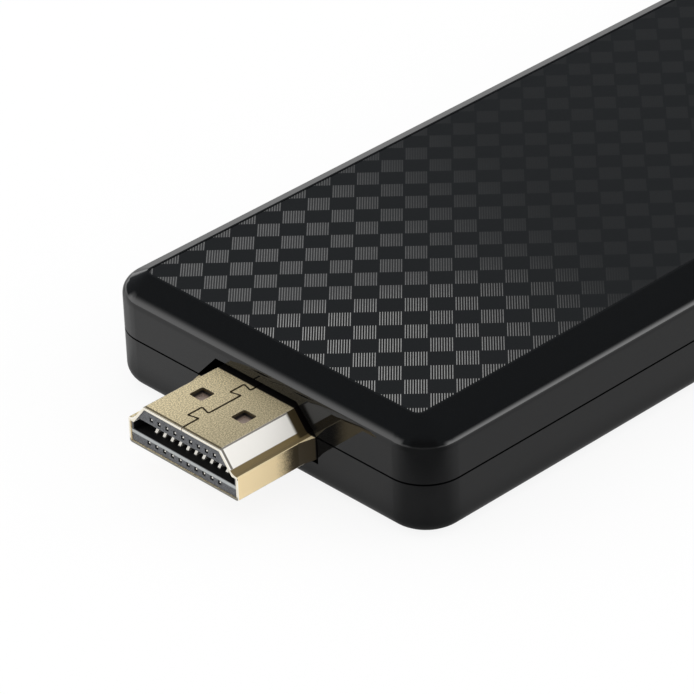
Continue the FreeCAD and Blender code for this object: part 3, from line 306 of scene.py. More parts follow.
# The top panel: a chequer of fine ruled squares, turned by 45 degrees to the housing, under a clear gloss

panel = {
    "cell": 2.213 * mm,                     # side of one square
    "ruledCentre": (-33.12 * mm, -1.35 * mm),
    "ruledHalfWidth": 1.0 * mm,             # across the lines
    "ruledHalfLength": 1.1 * mm,            # along the lines
    "ruledSoftness": 0.02 * mm,
    "linePitch": 0.232 * mm,
    "lineShare": 0.34,                      # of a pitch
    "lineSoftness": 0.09,
    "lineDepth": 0.003 * mm,
    # The pale line colour is a painted sheen of the ruling.
    "lineColor": (0.40, 0.40, 0.395),
    "gapColor": (0.006, 0.006, 0.006),
    "blendColor": (0.055, 0.056, 0.058),    # of a square whose lines run together
    "groundColor": (0.0114, 0.0124, 0.0134),
    "farShadeColor": (0.0175, 0.0183, 0.0192),   # of a ruled square at the rear end, where its painted sheen has faded: painted shade
    "fade": (6 * mm, 38 * mm),              # how far from the front the ruling's painted sheen fades
    "fadeSlant": 0.35,
    "crisp": (2 * mm, 9 * mm),              # where its lines run together, first on the ports' side
    "crispSlant": 0.5,
    "crispLeast": 0.4,
    "crispEnd": (18 * mm, 42 * mm),
    "grainSize": 0.12 * mm,
    "grainRange": (0.3, 0.75),
    "grainLeast": 0.7,                      # of a line that is left where the grain is low
    "markSize": 9 * mm,
    "roughness": (0.35, 0.38),
    "specular": 0.06,
    "coat": 0.4,
    "coatIor": 1.47,
    "coatRoughness": 0.04,
}


def squareMask(tree, axes, look):
    # The ruled squares, and each point's place across their lines. u counts squares along the lines and
    # v across them.
    fromX = calc(tree, "SUBTRACT", axes[0], look["ruledCentre"][0])
    fromY = calc(tree, "SUBTRACT", axes[1], look["ruledCentre"][1])
    turn = 1 / (math.sqrt(2) * look["cell"])
    u = product(tree, calc(tree, "ADD", fromX, fromY), turn)
    v = product(tree, calc(tree, "SUBTRACT", fromX, fromY), turn)
    uCell = calc(tree, "ROUND", u)
    vCell = calc(tree, "ROUND", v)
    uInside = product(tree, distanceFrom(tree, u, uCell), look["cell"])
    vOffset = product(tree, calc(tree, "SUBTRACT", v, vCell), look["cell"])
    soft = look["ruledSoftness"]
    uMask = falling(tree, uInside, look["ruledHalfLength"] - soft, look["ruledHalfLength"] + soft)
    vInside = calc(tree, "ABSOLUTE", vOffset)
    vMask = falling(tree, vInside, look["ruledHalfWidth"] - soft, look["ruledHalfWidth"] + soft)
    parity = calc(tree, "PINGPONG", calc(tree, "ADD", uCell, vCell), 1.0)
    return product(tree, uMask, vMask, inverse(tree, parity)), vOffset


def lineMask(tree, offset, look):
    # The distance from the nearest line's middle is in pitches: 0 on the line and 0.5 half way to the next.
    phase = calc(tree, "DIVIDE", offset, look["linePitch"])
    away = distanceFrom(tree, phase, calc(tree, "ROUND", phase))
    half = look["lineShare"] / 2
    return falling(tree, away, half - look["lineSoftness"], half + look["lineSoftness"])


def rulingMasks(tree, axes, look):
    # How far the ruling's painted sheen has faded, and how clearly its lines stand apart.
    fromFront = calc(tree, "SUBTRACT", axes[0], frontWall)
    slanted = calc(tree, "SUBTRACT", fromFront, product(tree, axes[1], look["fadeSlant"]))
    faint = rising(tree, slanted, *look["fade"])
    slanted = calc(tree, "ADD", axes[1], product(tree, fromFront, look["crispSlant"]))
    crisp = mapTo(tree, slanted, *look["crisp"], 1.0, look["crispLeast"])
    return faint, product(tree, crisp, falling(tree, fromFront, *look["crispEnd"]))


def chequeredPanel(name, look):
    # Squares of fine pale lines on a dark ground. The lines are the panel's fine ruling, painted pale as a
    # painted sheen where it catches the light. They run together and fade towards the rear, a painted
    # fall-off of that sheen.
    material, tree, shader = newFinish(name)
    point = objectPoint(tree)
    axes = split(tree, point)
    ruled, offset = squareMask(tree, axes, look)
    grain = placeGroup(tree, grainGroup, {"Position": point, "Size": look["grainSize"]})
    worn = mapTo(tree, grain, *look["grainRange"], look["grainLeast"], 1.0)
    line = product(tree, lineMask(tree, offset, look), worn)
    faint, crisp = rulingMasks(tree, axes, look)
    lines = mixColor(tree, line, rgb(*look["gapColor"]), rgb(*look["lineColor"]))
    square = layered(tree, rgb(*look["blendColor"]), [(crisp, lines), (faint, rgb(*look["farShadeColor"]))])
    marks = placeGroup(tree, handlingGroup, {"Position": point, "Size": look["markSize"]})
    feedNamed(tree, shader, {
        "Base Color": mixColor(tree, ruled, rgb(*look["groundColor"]), square),
        "Roughness": mapTo(tree, marks, 0.0, 1.0, *look["roughness"]),
        "Normal": bumpOf(tree, product(tree, line, ruled), look["lineDepth"]),
        "Specular IOR Level": look["specular"],
        "Coat Weight": look["coat"],
        "Coat IOR": look["coatIor"],
        "Coat Roughness": look["coatRoughness"],
    })
    return material


dress(chequeredPanel("chequered gloss panel", panel), "top_panel")
print("stage: housing and panel dressed")


# The video plug: satin gold over stamped sheet, a grey moulding and two rows of contacts

plug = {
    "gold": {
        # Facing is a normal's part along z, y and x. The mouth faces -x.
        "levelFacing": (0.93, 0.985),
        "sideFacing": (0.82, 0.95),
        "mouthFacing": (-0.95, -0.8),
        # The slope, side and top are one gold sheet painted at different levels of light: the near-white
        # slope is a painted highlight, and the side's pale gold is partly a painted reflection of the floor.
        "slope": (1.0, 0.975, 0.92),
        "side": (1.0, 0.80, 0.47),
        "top": (0.80, 0.68, 0.425),
        "topWidth": (-5 * mm, 6 * mm),          # from right to left, where the top's tone rises as painted light
        "topAcross": (0.74, 1.18),
        "topLength": (0.0, 8 * mm),             # from the mouth to the housing, where it falls as painted shade
        "topAlong": (1.05, 1.0),
        "cutEdge": (0.84, 0.79, 0.67),          # the sheet's bare edge round the mouth, made pale partly as a painted highlight
        "lowEdge": (0.20, 0.19, 0.165),         # the same edge along the bottom, painted in shade
        "lowEdgeHeights": (2.95 * mm, 3.3 * mm),
        "ledge": (0.21, 0.155, 0.07),           # painted shade on the right, up into the ledge's hollow rounding
        "ledgeBottom": (4.85 * mm, 4.95 * mm),
        "ledgeTop": (5.55 * mm, 5.6 * mm),
        "ledgeEnd": (-0.1 * mm, 0.0),           # at the plug's middle
        "rim": (0.95, 0.80, 0.50),              # painted highlight along the outer side of the ledge
        "rimBottom": (5.05 * mm, 5.1 * mm),
        "rimTop": (5.25 * mm, 5.28 * mm),
        "rimStart": (6.87 * mm, 6.93 * mm),     # from the plug's middle
        "shade": (0.05, 0.037, 0.018),          # of each stretch painted in shade
        "slopeShade": (0.85 * mm, 1.25 * mm),   # how far the painted shade reaches out of the wall
        "sideShade": (2.2 * mm, 4.5 * mm),
        "raggedRange": (0.25, 0.75),            # of the grain, which shifts the sides' border
        "ragged": 0.25 * mm,
        "lipStart": (0.09 * mm, 0.13 * mm),     # a line of painted shade behind the polished lip
        "lipEnd": (0.32 * mm, 0.36 * mm),
        "lipShare": 0.85,
        "brinkHeights": (7.0 * mm, 7.03 * mm),  # above them, rounded brinks and cut edges get painted shade
        "brinkStart": (0.60, 0.68),             # facing up
        "brinkEnd": (0.93, 0.97),
        "brinkShare": 0.8,
        "deepStart": (0.3 * mm, 0.35 * mm),     # beyond it, faces to the mouth are walls of the openings
        "openingEnd": (4.4 * mm, 4.45 * mm),    # the seam and the windows lie inside it
        "openingDepths": (0.3 * mm, 0.25 * mm),     # from the sheet's top
        "inside": (0.004, 0.003, 0.003),        # painted shade within the housing
        "insideStart": (0.0, 0.12 * mm),
        "roughness": (0.24, 0.48),              # polished, and of the sandy top and the sides
        "topMetallic": 0.15,
        "sideMetallic": 0.06,
        "grainSize": 0.13 * mm,
        "grainDepth": 0.008 * mm,
        "pitRange": (0.35, 0.65),
        "pitShade": 0.5,
    },
    "moulding": {
        "face": (0.125, 0.13, 0.14),
        "speckleRange": (0.4, 0.6),
        "speckleShare": 0.55,
        "lip": (0.42, 0.44, 0.44),              # a paler line under the cavity: painted highlight
        "lipHeight": 3.95 * mm,
        "lipBorder": (0.1 * mm, 0.22 * mm),
        # Near black: the face's dark speckles, and behind the face painted shade.
        "depths": (0.006, 0.006, 0.007),
        "depthStart": (0.032 * mm, 0.08 * mm),  # from the face, where the painted shade begins
        "window": (0.50, 0.40, 0.34),
        "windowStart": (6.2 * mm, 6.3 * mm),
        "windowEnd": (6.4 * mm, 6.7 * mm),
        "roughRange": (0.3, 0.7),
        "roughness": (0.4, 0.55),
        "grainSize": 0.08 * mm,
        "grainDepth": 0.003 * mm,
    },
    "contacts": {
        "color": (0.97, 0.93, 0.85),
        "roughness": (0.2, 0.3),
        "metallic": 0.8,
        "grainSize": 0.1 * mm,
        "grainDepth": 0.0006 * mm,
    },
}


def goldPlaces(tree, look):
    # Where a point of the sheet lies and which way it faces, and the masks that several finishes share.
    coordinates = addNode(tree, "ShaderNodeTexCoord").outputs
    axes = split(tree, coordinates["Object"])
    facing = split(tree, coordinates["Normal"])
    low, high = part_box("video_plug_shell")
    fromTip = calc(tree, "SUBTRACT", axes[0], low.x)
    return {
        "point": coordinates["Object"],
        "across": axes[1],
        "height": axes[2],
        "sheetTop": high.z,
        "fromTip": fromTip,
        "fromWall": calc(tree, "SUBTRACT", frontWall, axes[0]),
        "fromMiddle": distanceFrom(tree, axes[1], (low.y + high.y) / 2),
        "rearward": facing[0],
        "upward": facing[2],
        "level": rising(tree, calc(tree, "ABSOLUTE", facing[2]), *look["levelFacing"]),
        "sideward": rising(tree, calc(tree, "ABSOLUTE", facing[1]), *look["sideFacing"]),
        "deep": rising(tree, fromTip, *look["deepStart"]),
    }


def topColor(tree, at, pits, look):
    # The top's tone rises from the right to the left as painted light, falls towards the housing as painted
    # shade, and falls in its pits.
    tone = product(
        tree,
        mapTo(tree, at["across"], *look["topWidth"], *look["topAcross"]),
        mapTo(tree, at["fromTip"], *look["topLength"], *look["topAlong"]),
        mapTo(tree, pits, 0.0, 1.0, 1.0, 1 - look["pitShade"]),
    )
    toned = addNode(tree, "ShaderNodeVectorMath", operation="SCALE")
    feed(tree, toned.inputs[0], look["top"])
    feed(tree, toned.inputs["Scale"], tone)
    return toned.outputs[0]


def ledgeMask(tree, at, look):
    # Where the ledge's painted shade lies.
    heights = band(tree, at["height"], look["ledgeBottom"], look["ledgeTop"])
    right = falling(tree, at["across"], *look["ledgeEnd"])
    return product(tree, heights, right, inverse(tree, at["sideward"]))


def rimMask(tree, at, look):
    # Where the rim's painted highlight lies.
    heights = band(tree, at["height"], look["rimBottom"], look["rimTop"])
    outer = rising(tree, at["fromMiddle"], *look["rimStart"])
    return product(tree, heights, outer, inverse(tree, at["sideward"]))


def mouthMask(tree, at, look):
    # The bare edge faces out of the mouth, as the openings' walls do, which lie deeper.
    return product(tree, falling(tree, at["rearward"], *look["mouthFacing"]), inverse(tree, at["deep"]))


def shadedSlopes(tree, at, look):
    # Painted shade on the slopes near the wall.
    sloping = inverse(tree, largest(tree, at["level"], at["sideward"]))
    return product(tree, falling(tree, at["fromWall"], *look["slopeShade"]), sloping)


def shadedSides(tree, at, grain, look):
    # Painted shade on the sides near the wall. The grain breaks up its border.
    shift = mapTo(tree, grain, *look["raggedRange"], -look["ragged"], look["ragged"])
    ragged = calc(tree, "ADD", at["fromWall"], shift)
    return product(tree, falling(tree, ragged, *look["sideShade"]), at["sideward"])


def lipShadeLine(tree, at, look):
    # A line of painted shade behind the lip. It ends at the ledge's top.
    low = falling(tree, at["height"], *look["ledgeTop"])
    line = band(tree, at["fromTip"], look["lipStart"], look["lipEnd"])
    return product(tree, line, calc(tree, "SUBTRACT", look["lipShare"], low))


def shadedBrinks(tree, at, look):
    # Painted shade on rounded brinks and cut edges near the top.
    return product(
        tree,
        mapTo(tree, at["upward"], *look["brinkStart"], 0.0, look["brinkShare"]),
        falling(tree, at["upward"], *look["brinkEnd"]),
        rising(tree, at["height"], *look["brinkHeights"]),
    )


def paintedShadeMask(tree, at, grain, look):
    # All the sheet's painted shade together.
    return largest(
        tree,
        shadedSlopes(tree, at, look),
        shadedSides(tree, at, grain, look),
        lipShadeLine(tree, at, look),
        shadedBrinks(tree, at, look),
    )


def openingMask(tree, at, look):
    # Painted shade on the walls of the seam and the windows, through the top sheet.
    return product(
        tree,
        falling(tree, at["fromMiddle"], *look["openingEnd"]),
        at["deep"],
        rising(tree, at["height"], *[at["sheetTop"] - depth for depth in look["openingDepths"]]),
        inverse(tree, at["level"]),
    )


def satinGold(name, look):
    # Polished slopes painted near white as a highlight, a sandy top, satin sides and a bare cut edge, with
    # painted shade where they meet the housing.
    material, tree, shader = newFinish(name)
    at = goldPlaces(tree, look)
    grain = placeGroup(tree, grainGroup, {"Position": at["point"], "Size": look["grainSize"]})
    pits = product(tree, rising(tree, grain, *look["pitRange"]), at["level"])
    rim = rimMask(tree, at, look)
    mouth = mouthMask(tree, at, look)
    upper = rising(tree, at["height"], *look["lowEdgeHeights"])
    # Over the slope's colour, a painted highlight, lie the side, the top, the ledge's painted shade, the
    # rim's painted highlight, the edge, and painted shade near the housing, in the openings and inside it.
    color = layered(tree, rgb(*look["slope"]), [
        (at["sideward"], rgb(*look["side"])),
        (at["level"], topColor(tree, at, pits, look)),
        (ledgeMask(tree, at, look), rgb(*look["ledge"])),
        (rim, rgb(*look["rim"])),
        (mouth, mixColor(tree, upper, rgb(*look["lowEdge"]), rgb(*look["cutEdge"]))),
        (paintedShadeMask(tree, at, grain, look), rgb(*look["shade"])),
        (openingMask(tree, at, look), rgb(*look["shade"])),
        (falling(tree, at["fromWall"], *look["insideStart"]), rgb(*look["inside"])),
    ])
    topMetal = product(tree, at["level"], look["topMetallic"])
    sideMetal = product(tree, at["sideward"], look["sideMetallic"])
    plain = largest(tree, at["level"], at["sideward"], mouth, rim)
    feedNamed(tree, shader, {
        "Base Color": color,
        "Roughness": mapTo(tree, plain, 0.0, 1.0, *look["roughness"]),
        "Metallic": calc(tree, "ADD", topMetal, sideMetal),
        "Normal": bumpOf(tree, pits, look["grainDepth"]),
    })
    return material


def plugMoulding(name, look):
    # Speckled grey on the mouth's face, nearly black behind it as painted shade, and brownish under the
    # windows.
    material, tree, shader = newFinish(name)
    point = objectPoint(tree)
    axes = split(tree, point)
    grain = placeGroup(tree, grainGroup, {"Position": point, "Size": look["grainSize"]})
    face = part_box("video_plug_insulator")[0].x
    # Painted shade behind the face.
    depth = rising(tree, axes[0], *[face + reach for reach in look["depthStart"]])
    # A painted highlight along the cavity's lower edge.
    lip = falling(tree, distanceFrom(tree, axes[2], look["lipHeight"]), *look["lipBorder"])
    window = product(tree, depth, band(tree, axes[2], look["windowStart"], look["windowEnd"]))
    color = layered(tree, rgb(*look["face"]), [
        (mapTo(tree, grain, *look["speckleRange"], 0.0, look["speckleShare"]), rgb(*look["depths"])),
        (lip, rgb(*look["lip"])),
        (depth, rgb(*look["depths"])),
        (window, rgb(*look["window"])),
    ])
    feedNamed(tree, shader, {
        "Base Color": color,
        "Roughness": mapTo(tree, grain, *look["roughRange"], *look["roughness"]),
        "Normal": bumpOf(tree, grain, look["grainDepth"]),
    })
    return material


dress(satinGold("satin gold", plug["gold"]), "video_plug_shell")
dress(plugMoulding("grey moulding", plug["moulding"]), "video_plug_insulator")
contactNames = [name for name in nodes if name.endswith("_contacts")]
dress(plainFinish("contact gold", plug["contacts"]), *contactNames)


# The ports: nickel-plated sheet and black mouldings

ports = {
    "sheet": {
        "color": (0.60, 0.60, 0.59),
        "roughness": (0.18, 0.34),
        "stretch": (400.0, 5000.0, 5000.0),
        "lineDepth": 0.0012 * mm,
    },
    "moulding": {
        "color": (0.012, 0.012, 0.013),
        "roughness": (0.4, 0.55),
        "grainSize": 0.1 * mm,
        "grainDepth": 0.003 * mm,
    },
}
portSheet = sheetMetal("nickel sheet", ports["sheet"])
dress(portSheet, "host_port_shell", "power_port_shell", "data_port_shell", "card_socket_cover")
dress(portSheet, "wireless_shield", "crystals", "recovery_button_cover")
portMoulding = plainFinish("black moulding", ports["moulding"])
dress(portMoulding, "host_port_tongue", "power_port_tongue", "data_port_tongue", "card_socket_base")
dress(portMoulding, "recovery_button_base")
print("stage: plug and ports dressed")


# Inside the housing

inside = {
    "laminate": {
        "mask": (0.008, 0.055, 0.026),
        "track": (0.018, 0.105, 0.05),
        "cellSize": 1.3 * mm,
        "ringPitch": 0.14,              # from one ring to half way to the next, in cells
        "trackRange": (0.05, 0.08),
        "trackDepth": 0.02 * mm,
        "grainSize": 0.15 * mm,
        "roughRange": (0.3, 0.7),
        "roughness": (0.25, 0.4),
    },
    "package": {
        "color": (0.014, 0.014, 0.015),
        "roughness": (0.45, 0.62),
        "grainSize": 0.07 * mm,
        "grainDepth": 0.004 * mm,
    },
    "ferrite": {
        "color": (0.06, 0.06, 0.065),
        "roughness": (0.5, 0.7),
        "grainSize": 0.12 * mm,
        "grainDepth": 0.006 * mm,
    },
    "ceramic": {
        "color": (0.42, 0.29, 0.17),
        "roughness": (0.35, 0.5),
        "grainSize": 0.1 * mm,
        "grainDepth": 0.003 * mm,
    },
    "softPad": {
        "color": (0.28, 0.36, 0.47),
        "roughness": (0.7, 0.85),
        "grainSize": 0.25 * mm,
        "grainDepth": 0.01 * mm,
    },
    "spreader": {
        "color": (0.72, 0.72, 0.73),
        "roughness": (0.25, 0.42),
        "stretch": (300.0, 6000.0, 6000.0),
        "lineDepth": 0.002 * mm,
    },
    "screw": {
        "color": (0.42, 0.42, 0.43),
        "roughness": (0.22, 0.38),
        "stretch": (3000.0, 3000.0, 800.0),
        "lineDepth": 0.001 * mm,
    },
}


def laminate(name, look):
    # Green solder mask over tracks, which run as diamond rings round scattered points.
    material, tree, shader = newFinish(name)
    point = objectPoint(tree)
    cells = addNode(
        tree,
        "ShaderNodeTexVoronoi",
        {"Vector": point, "Scale": 1 / look["cellSize"]},
        distance="MANHATTAN",
        feature="F1",
    )
    rings = calc(tree, "PINGPONG", cells.outputs["Distance"], look["ringPitch"])
    track = rising(tree, rings, *look["trackRange"])
    grain = placeGroup(tree, grainGroup, {"Position": point, "Size": look["grainSize"]})
    feedNamed(tree, shader, {
        "Base Color": mixColor(tree, track, rgb(*look["mask"]), rgb(*look["track"])),
        "Roughness": mapTo(tree, grain, *look["roughRange"], *look["roughness"]),
        "Normal": bumpOf(tree, track, look["trackDepth"]),
    })
    return material


dress(laminate("green laminate", inside["laminate"]), "main_board", "wireless_module")
chipNames = ("processor", "flash_chip", "power_chip", "memory_chips")
dress(plainFinish("chip package", inside["package"]), *chipNames)
dress(plainFinish("ferrite", inside["ferrite"]), "power_inductors")
dress(plainFinish("ceramic", inside["ceramic"]), "capacitors", "chip_antenna")
dress(plainFinish("thermal pad", inside["softPad"]), "thermal_pad")
dress(sheetMetal("milled spreader", inside["spreader"]), "heat_spreader")
dress(sheetMetal("zinc screw", inside["screw"]), "board_screws")


# Small pieces: label, light and button

small = {
    "label": {
        "color": (0.13, 0.13, 0.135),
        "roughness": (0.42, 0.55),
        "grainSize": 0.3 * mm,
        "grainDepth": 0.004 * mm,
    },
    "lamp": {
        "color": (0.72, 0.71, 0.6),
        "roughness": (0.2, 0.3),
        "grainSize": 0.2 * mm,
        "grainDepth": 0.002 * mm,
    },
    "pipe": {
        "color": (0.75, 0.79, 0.84),
        "roughness": (0.12, 0.22),
        "grainSize": 0.3 * mm,
        "grainDepth": 0.002 * mm,
    },
    "plunger": {
        "color": (0.5, 0.5, 0.48),
        "roughness": (0.35, 0.5),
        "grainSize": 0.1 * mm,
        "grainDepth": 0.003 * mm,
    },
}
dress(plainFinish("label film", small["label"]), "underside_label")
dress(plainFinish("lamp resin", small["lamp"]), "status_led")
dress(plainFinish("clear acrylic", small["pipe"]), "light_pipe")
dress(plainFinish("pale plunger", small["plunger"]), "recovery_button_plunger")
print("stage: inner and small pieces dressed")


# Turned pieces

def turnedMesh(name, rings, poles):
    # Rings of points, one after the other, joined by quads. A fan to a pole closes the first and the last.
    rows, turns = rings.shape[:2]
    steps = np.arange(turns)
    onward = (steps + 1) % turns
    row, step = np.meshgrid(np.arange(rows - 1) * turns, steps, indexing="ij")
    ahead = (step + 1) % turns
    quads = np.stack([row + step, row + turns + step, row + turns + ahead, row + ahead], -1).reshape(-1, 4)
    last = (rows - 1) * turns
    pole = rows * turns
    firstFan = np.stack([np.full(turns, pole), steps, onward], -1)
    lastFan = np.stack([np.full(turns, pole + 1), last + onward, last + steps], -1)
    mesh = bpy.data.meshes.new(name)
    points = np.vstack([rings.reshape(-1, 3), poles])
    mesh.from_pydata(points.tolist(), [], quads.tolist() + firstFan.tolist() + lastFan.tolist())
    mesh.shade_smooth()
    return mesh


def addObject(name, data):
    thing = bpy.data.objects.new(name, data)
    bpy.context.scene.collection.objects.link(thing)
    return thing


# The ends of the contacts, seen in the small holes of the plug's face

contactTips = {
    "pitch": 1.0 * mm,
    "radius": 0.1 * mm,
    "depths": (0.16 * mm, 0.62 * mm),   # from the mouth to the round end and to the bottom of the hole
    "rows": {
        "lower": {"count": 10, "height": 3.55 * mm},
        "upper": {"count": 9, "height": 6.1 * mm},
    },
    "turns": 12,
    "bendRings": 5,
    "look": {
        # Near white and mostly not metallic: a painted highlight of the gold pins in the holes.
        "color": (1.0, 0.97, 0.90),
        "roughness": (0.25, 0.35),
        "metallic": 0.2,
        "grainSize": 0.1 * mm,
        "grainDepth": 0.0006 * mm,
    },
}


def makePin(look, start, end, side, height):
    # A quarter circle turned about the pin's axis, followed by a straight run to the hole's bottom.
    radius = look["radius"]
    bend = np.linspace(0, np.pi / 2, look["bendRings"] + 1)[1:]
    along = np.append(start + radius * (1 - np.cos(bend)), end)
    width = np.append(radius * np.sin(bend), radius)
    angles = np.linspace(0, 2 * np.pi, look["turns"], endpoint=False)
    x = np.repeat(along[:, None], look["turns"], axis=1)
    y = side + np.outer(width, np.sin(angles))
    z = height + np.outer(width, np.cos(angles))
    poles = np.array([[start, side, height], [end, side, height]])
    return turnedMesh("pin", np.stack([x, y, z], -1), poles)


def makeContactTips(look):
    # Rows of equal pins, each row centred in the plug.
    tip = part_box("video_plug_shell")[0].x
    low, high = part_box("video_plug_insulator")
    middle = (low.y + high.y) / 2
    start, end = (tip + depth for depth in look["depths"])
    maker = bmesh.new()
    for row in look["rows"].values():
        for number in range(row["count"]):
            side = middle + look["pitch"] * (number - (row["count"] - 1) / 2)
            pin = makePin(look, start, end, side, row["height"])
            maker.from_mesh(pin)
            bpy.data.meshes.remove(pin)
    bmesh.ops.recalc_face_normals(maker, faces=maker.faces)
    mesh = bpy.data.meshes.new("contact tips")
    maker.to_mesh(mesh)
    maker.free()
    mesh.shade_smooth()
    return addObject("contactTips", mesh)


tips = makeContactTips(contactTips)
tips.data.materials.append(plainFinish("contact tip", contactTips["look"]))
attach(tips, "stick")
print("stage: contact tips made")


# The snap dome under the button, turned about the plunger's axis. A real one flattens when the button is
# pressed; here it is built at rest.

dome = {
    "rimRadius": 1.4 * mm,
    "flatRadius": 0.75 * mm,
    "thickness": 0.08 * mm,
    "turns": 96,
    "flatRings": 6,
    "fallRings": 17,
}


def makeDome(look):
    # Height over radius: level inside the flat radius, then a cosine fall from there out to the rim.
    low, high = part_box("recovery_button_dome")
    centre = ((low.x + high.x) / 2, (low.y + high.y) / 2)
    radii = np.concatenate([
        np.linspace(0.0, look["flatRadius"], look["flatRings"] + 1)[1:],
        np.linspace(look["flatRadius"], look["rimRadius"], look["fallRings"] + 1)[1:],
    ])
    share = np.clip((radii - look["flatRadius"]) / (look["rimRadius"] - look["flatRadius"]), 0, 1)
    drop = high.z - low.z - look["thickness"]
    under = low.z + drop * (1 - np.cos(np.pi * share)) / 2
    profileRadius = np.concatenate([radii, radii[::-1]])
    profileZ = np.concatenate([under, (under + look["thickness"])[::-1]])
    angles = np.linspace(0, 2 * np.pi, look["turns"], endpoint=False)
    x = centre[0] + np.outer(profileRadius, np.cos(angles))
    y = centre[1] + np.outer(profileRadius, np.sin(angles))
    z = np.repeat(profileZ[:, None], look["turns"], axis=1)
    poles = np.array([[*centre, low.z], [*centre, low.z + look["thickness"]]])
    mesh = turnedMesh("snap dome", np.stack([x, y, z], -1), poles)
    return addObject("snapDome", mesh), Vector((centre[0], centre[1], high.z))


snapDome, domeRim = makeDome(dome)
snapDome.data.materials.append(portSheet)
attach(snapDome, "stick")
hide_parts("recovery_button_dome")
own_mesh(snapDome)
print("stage: snap dome made")


# Stage: a white floor, plain lamps, and a room whose gloss shows a glow on each side of a dim ceiling

room = {
    "floorRadius": 0.1,                 # small, so that low gloss sees the room past it
    "floorTurns": 64,
    "floorDrop": 0.2 * mm,              # under the object
    "floorColor": (1.0, 1.0, 1.0),
    "floorRoughness": 0.9,
    "shadowShare": 0.12,                # share of the floor's look that is lit, and so takes shadows
    "footprint": {"middle": 4.4 * mm, "halfLength": 46 * mm, "halfWidth": 20.2 * mm},
    "frontGloss": (0.46, 0.68),         # what gloss sees of the floor off the plug's end, from right to left
    "frontFar": (12 * mm, 50 * mm),     # where it grows to white
    "sideGloss": 0.46,                  # beside the side without ports
    "sideFar": (17 * mm, 55 * mm),
    "portsGloss": 0.3,                  # beside the ports
    "besideEnd": (-3 * mm, 4 * mm),     # how far ahead of the end wall the sides' gloss reaches
    "contactShadowGloss": 0.5,                # painted shadow: share of the floor's gloss that is left close to the housing
    "contactFar": (-1 * mm, 4 * mm),
    "cornerPlace": (-37.6 * mm, -16.2 * mm),
    "cornerHeading": -137.0,
    "cornerWidths": (35.0, 85.0),       # degrees either side of that heading
    "cornerFar": (9 * mm, 16 * mm),
    "cornerGloss": (0.4, 0.06),         # share of it that is left off the corner, near and far
    "ceiling": (0.125, 0.135, 0.145),
    "horizon": (-1.0, 4.0),             # elevations in degrees between which gloss goes from white to it
    "diffuseLevel": 0.95,               # what rough surfaces see
    "glowCore": (0.55, 0.1),            # shares of half the width and height that are at full level
    "glows": [
        # The middle's heading, half the width, and the lowest and highest elevation are in degrees. The
        # first is a dark place.
        {"heading": -137.0, "halfWidth": 45.0, "low": -40.0, "high": 80.0, "level": 0.05},
        {"heading": 143.0, "halfWidth": 34.0, "low": -34.0, "high": 38.0, "level": 2.25},
        {"heading": -51.0, "halfWidth": 42.0, "low": -31.0, "high": 26.0, "level": 3.9},
    ],
}


def headingOf(tree, x, y):
    return calc(tree, "DEGREES", calc(tree, "ARCTAN2", y, x))


def turnFrom(tree, heading, middle):
    # The angle between two headings, from 0 to 180 degrees.
    turned = calc(tree, "WRAP", calc(tree, "SUBTRACT", heading, middle), 180.0, -180.0)
    return calc(tree, "ABSOLUTE", turned)


def glossAhead(tree, axes, ahead, look):
    # Off the plug's end the floor is brighter to the left, and white far away.
    half = look["footprint"]["halfWidth"]
    near = mapTo(tree, axes[1], -half, half, *look["frontGloss"])
    white = rising(tree, ahead, *look["frontFar"])
    return calc(tree, "ADD", near, product(tree, white, inverse(tree, near)))


def glossBeside(tree, axes, aside, look):
    # It grows to white beside the side without ports, and is one level beside the ports.
    half = look["footprint"]["halfWidth"]
    portsShare = rising(tree, axes[1], -half, half)
    side = mapTo(tree, aside, *look["sideFar"], look["sideGloss"], 1.0)
    side = product(tree, side, inverse(tree, portsShare))
    return calc(tree, "ADD", side, product(tree, portsShare, look["portsGloss"]))


def cornerLoss(tree, axes, look):
    # Off the front right corner it is dark, like the room there.
    outX = calc(tree, "SUBTRACT", axes[0], look["cornerPlace"][0])
    outY = calc(tree, "SUBTRACT", axes[1], look["cornerPlace"][1])
    turned = turnFrom(tree, headingOf(tree, outX, outY), look["cornerHeading"])
    diagonal = product(tree, calc(tree, "ADD", outX, outY), -math.sqrt(0.5))
    left = mapTo(tree, diagonal, *look["cornerFar"], *look["cornerGloss"])
    return product(tree, falling(tree, turned, *look["cornerWidths"]), inverse(tree, left))


def floorGloss(tree, look):
    # How bright gloss sees each place of the floor, with a painted shadow close to the housing.
    axes = split(tree, objectPoint(tree))
    foot = look["footprint"]
    aside = calc(tree, "SUBTRACT", calc(tree, "ABSOLUTE", axes[1]), foot["halfWidth"])
    ahead = calc(tree, "SUBTRACT", foot["middle"] - foot["halfLength"], axes[0])
    behind = calc(tree, "SUBTRACT", axes[0], foot["middle"] + foot["halfLength"])
    beside = falling(tree, ahead, *look["besideEnd"])
    sides = product(tree, glossBeside(tree, axes, aside, look), beside)
    front = product(tree, glossAhead(tree, axes, ahead, look), inverse(tree, beside))
    level = calc(tree, "ADD", sides, front)
    away = largest(tree, aside, ahead, behind)
    # A painted shadow on the floor, seen only in gloss, close to the housing.
    contact = mapTo(tree, away, *look["contactFar"], look["contactShadowGloss"], 1.0)
    return product(tree, level, inverse(tree, cornerLoss(tree, axes, look)), contact)


def mixShader(tree, share, first, second):
    return feedInOrder(tree, addNode(tree, "ShaderNodeMixShader"), (share, first, second))


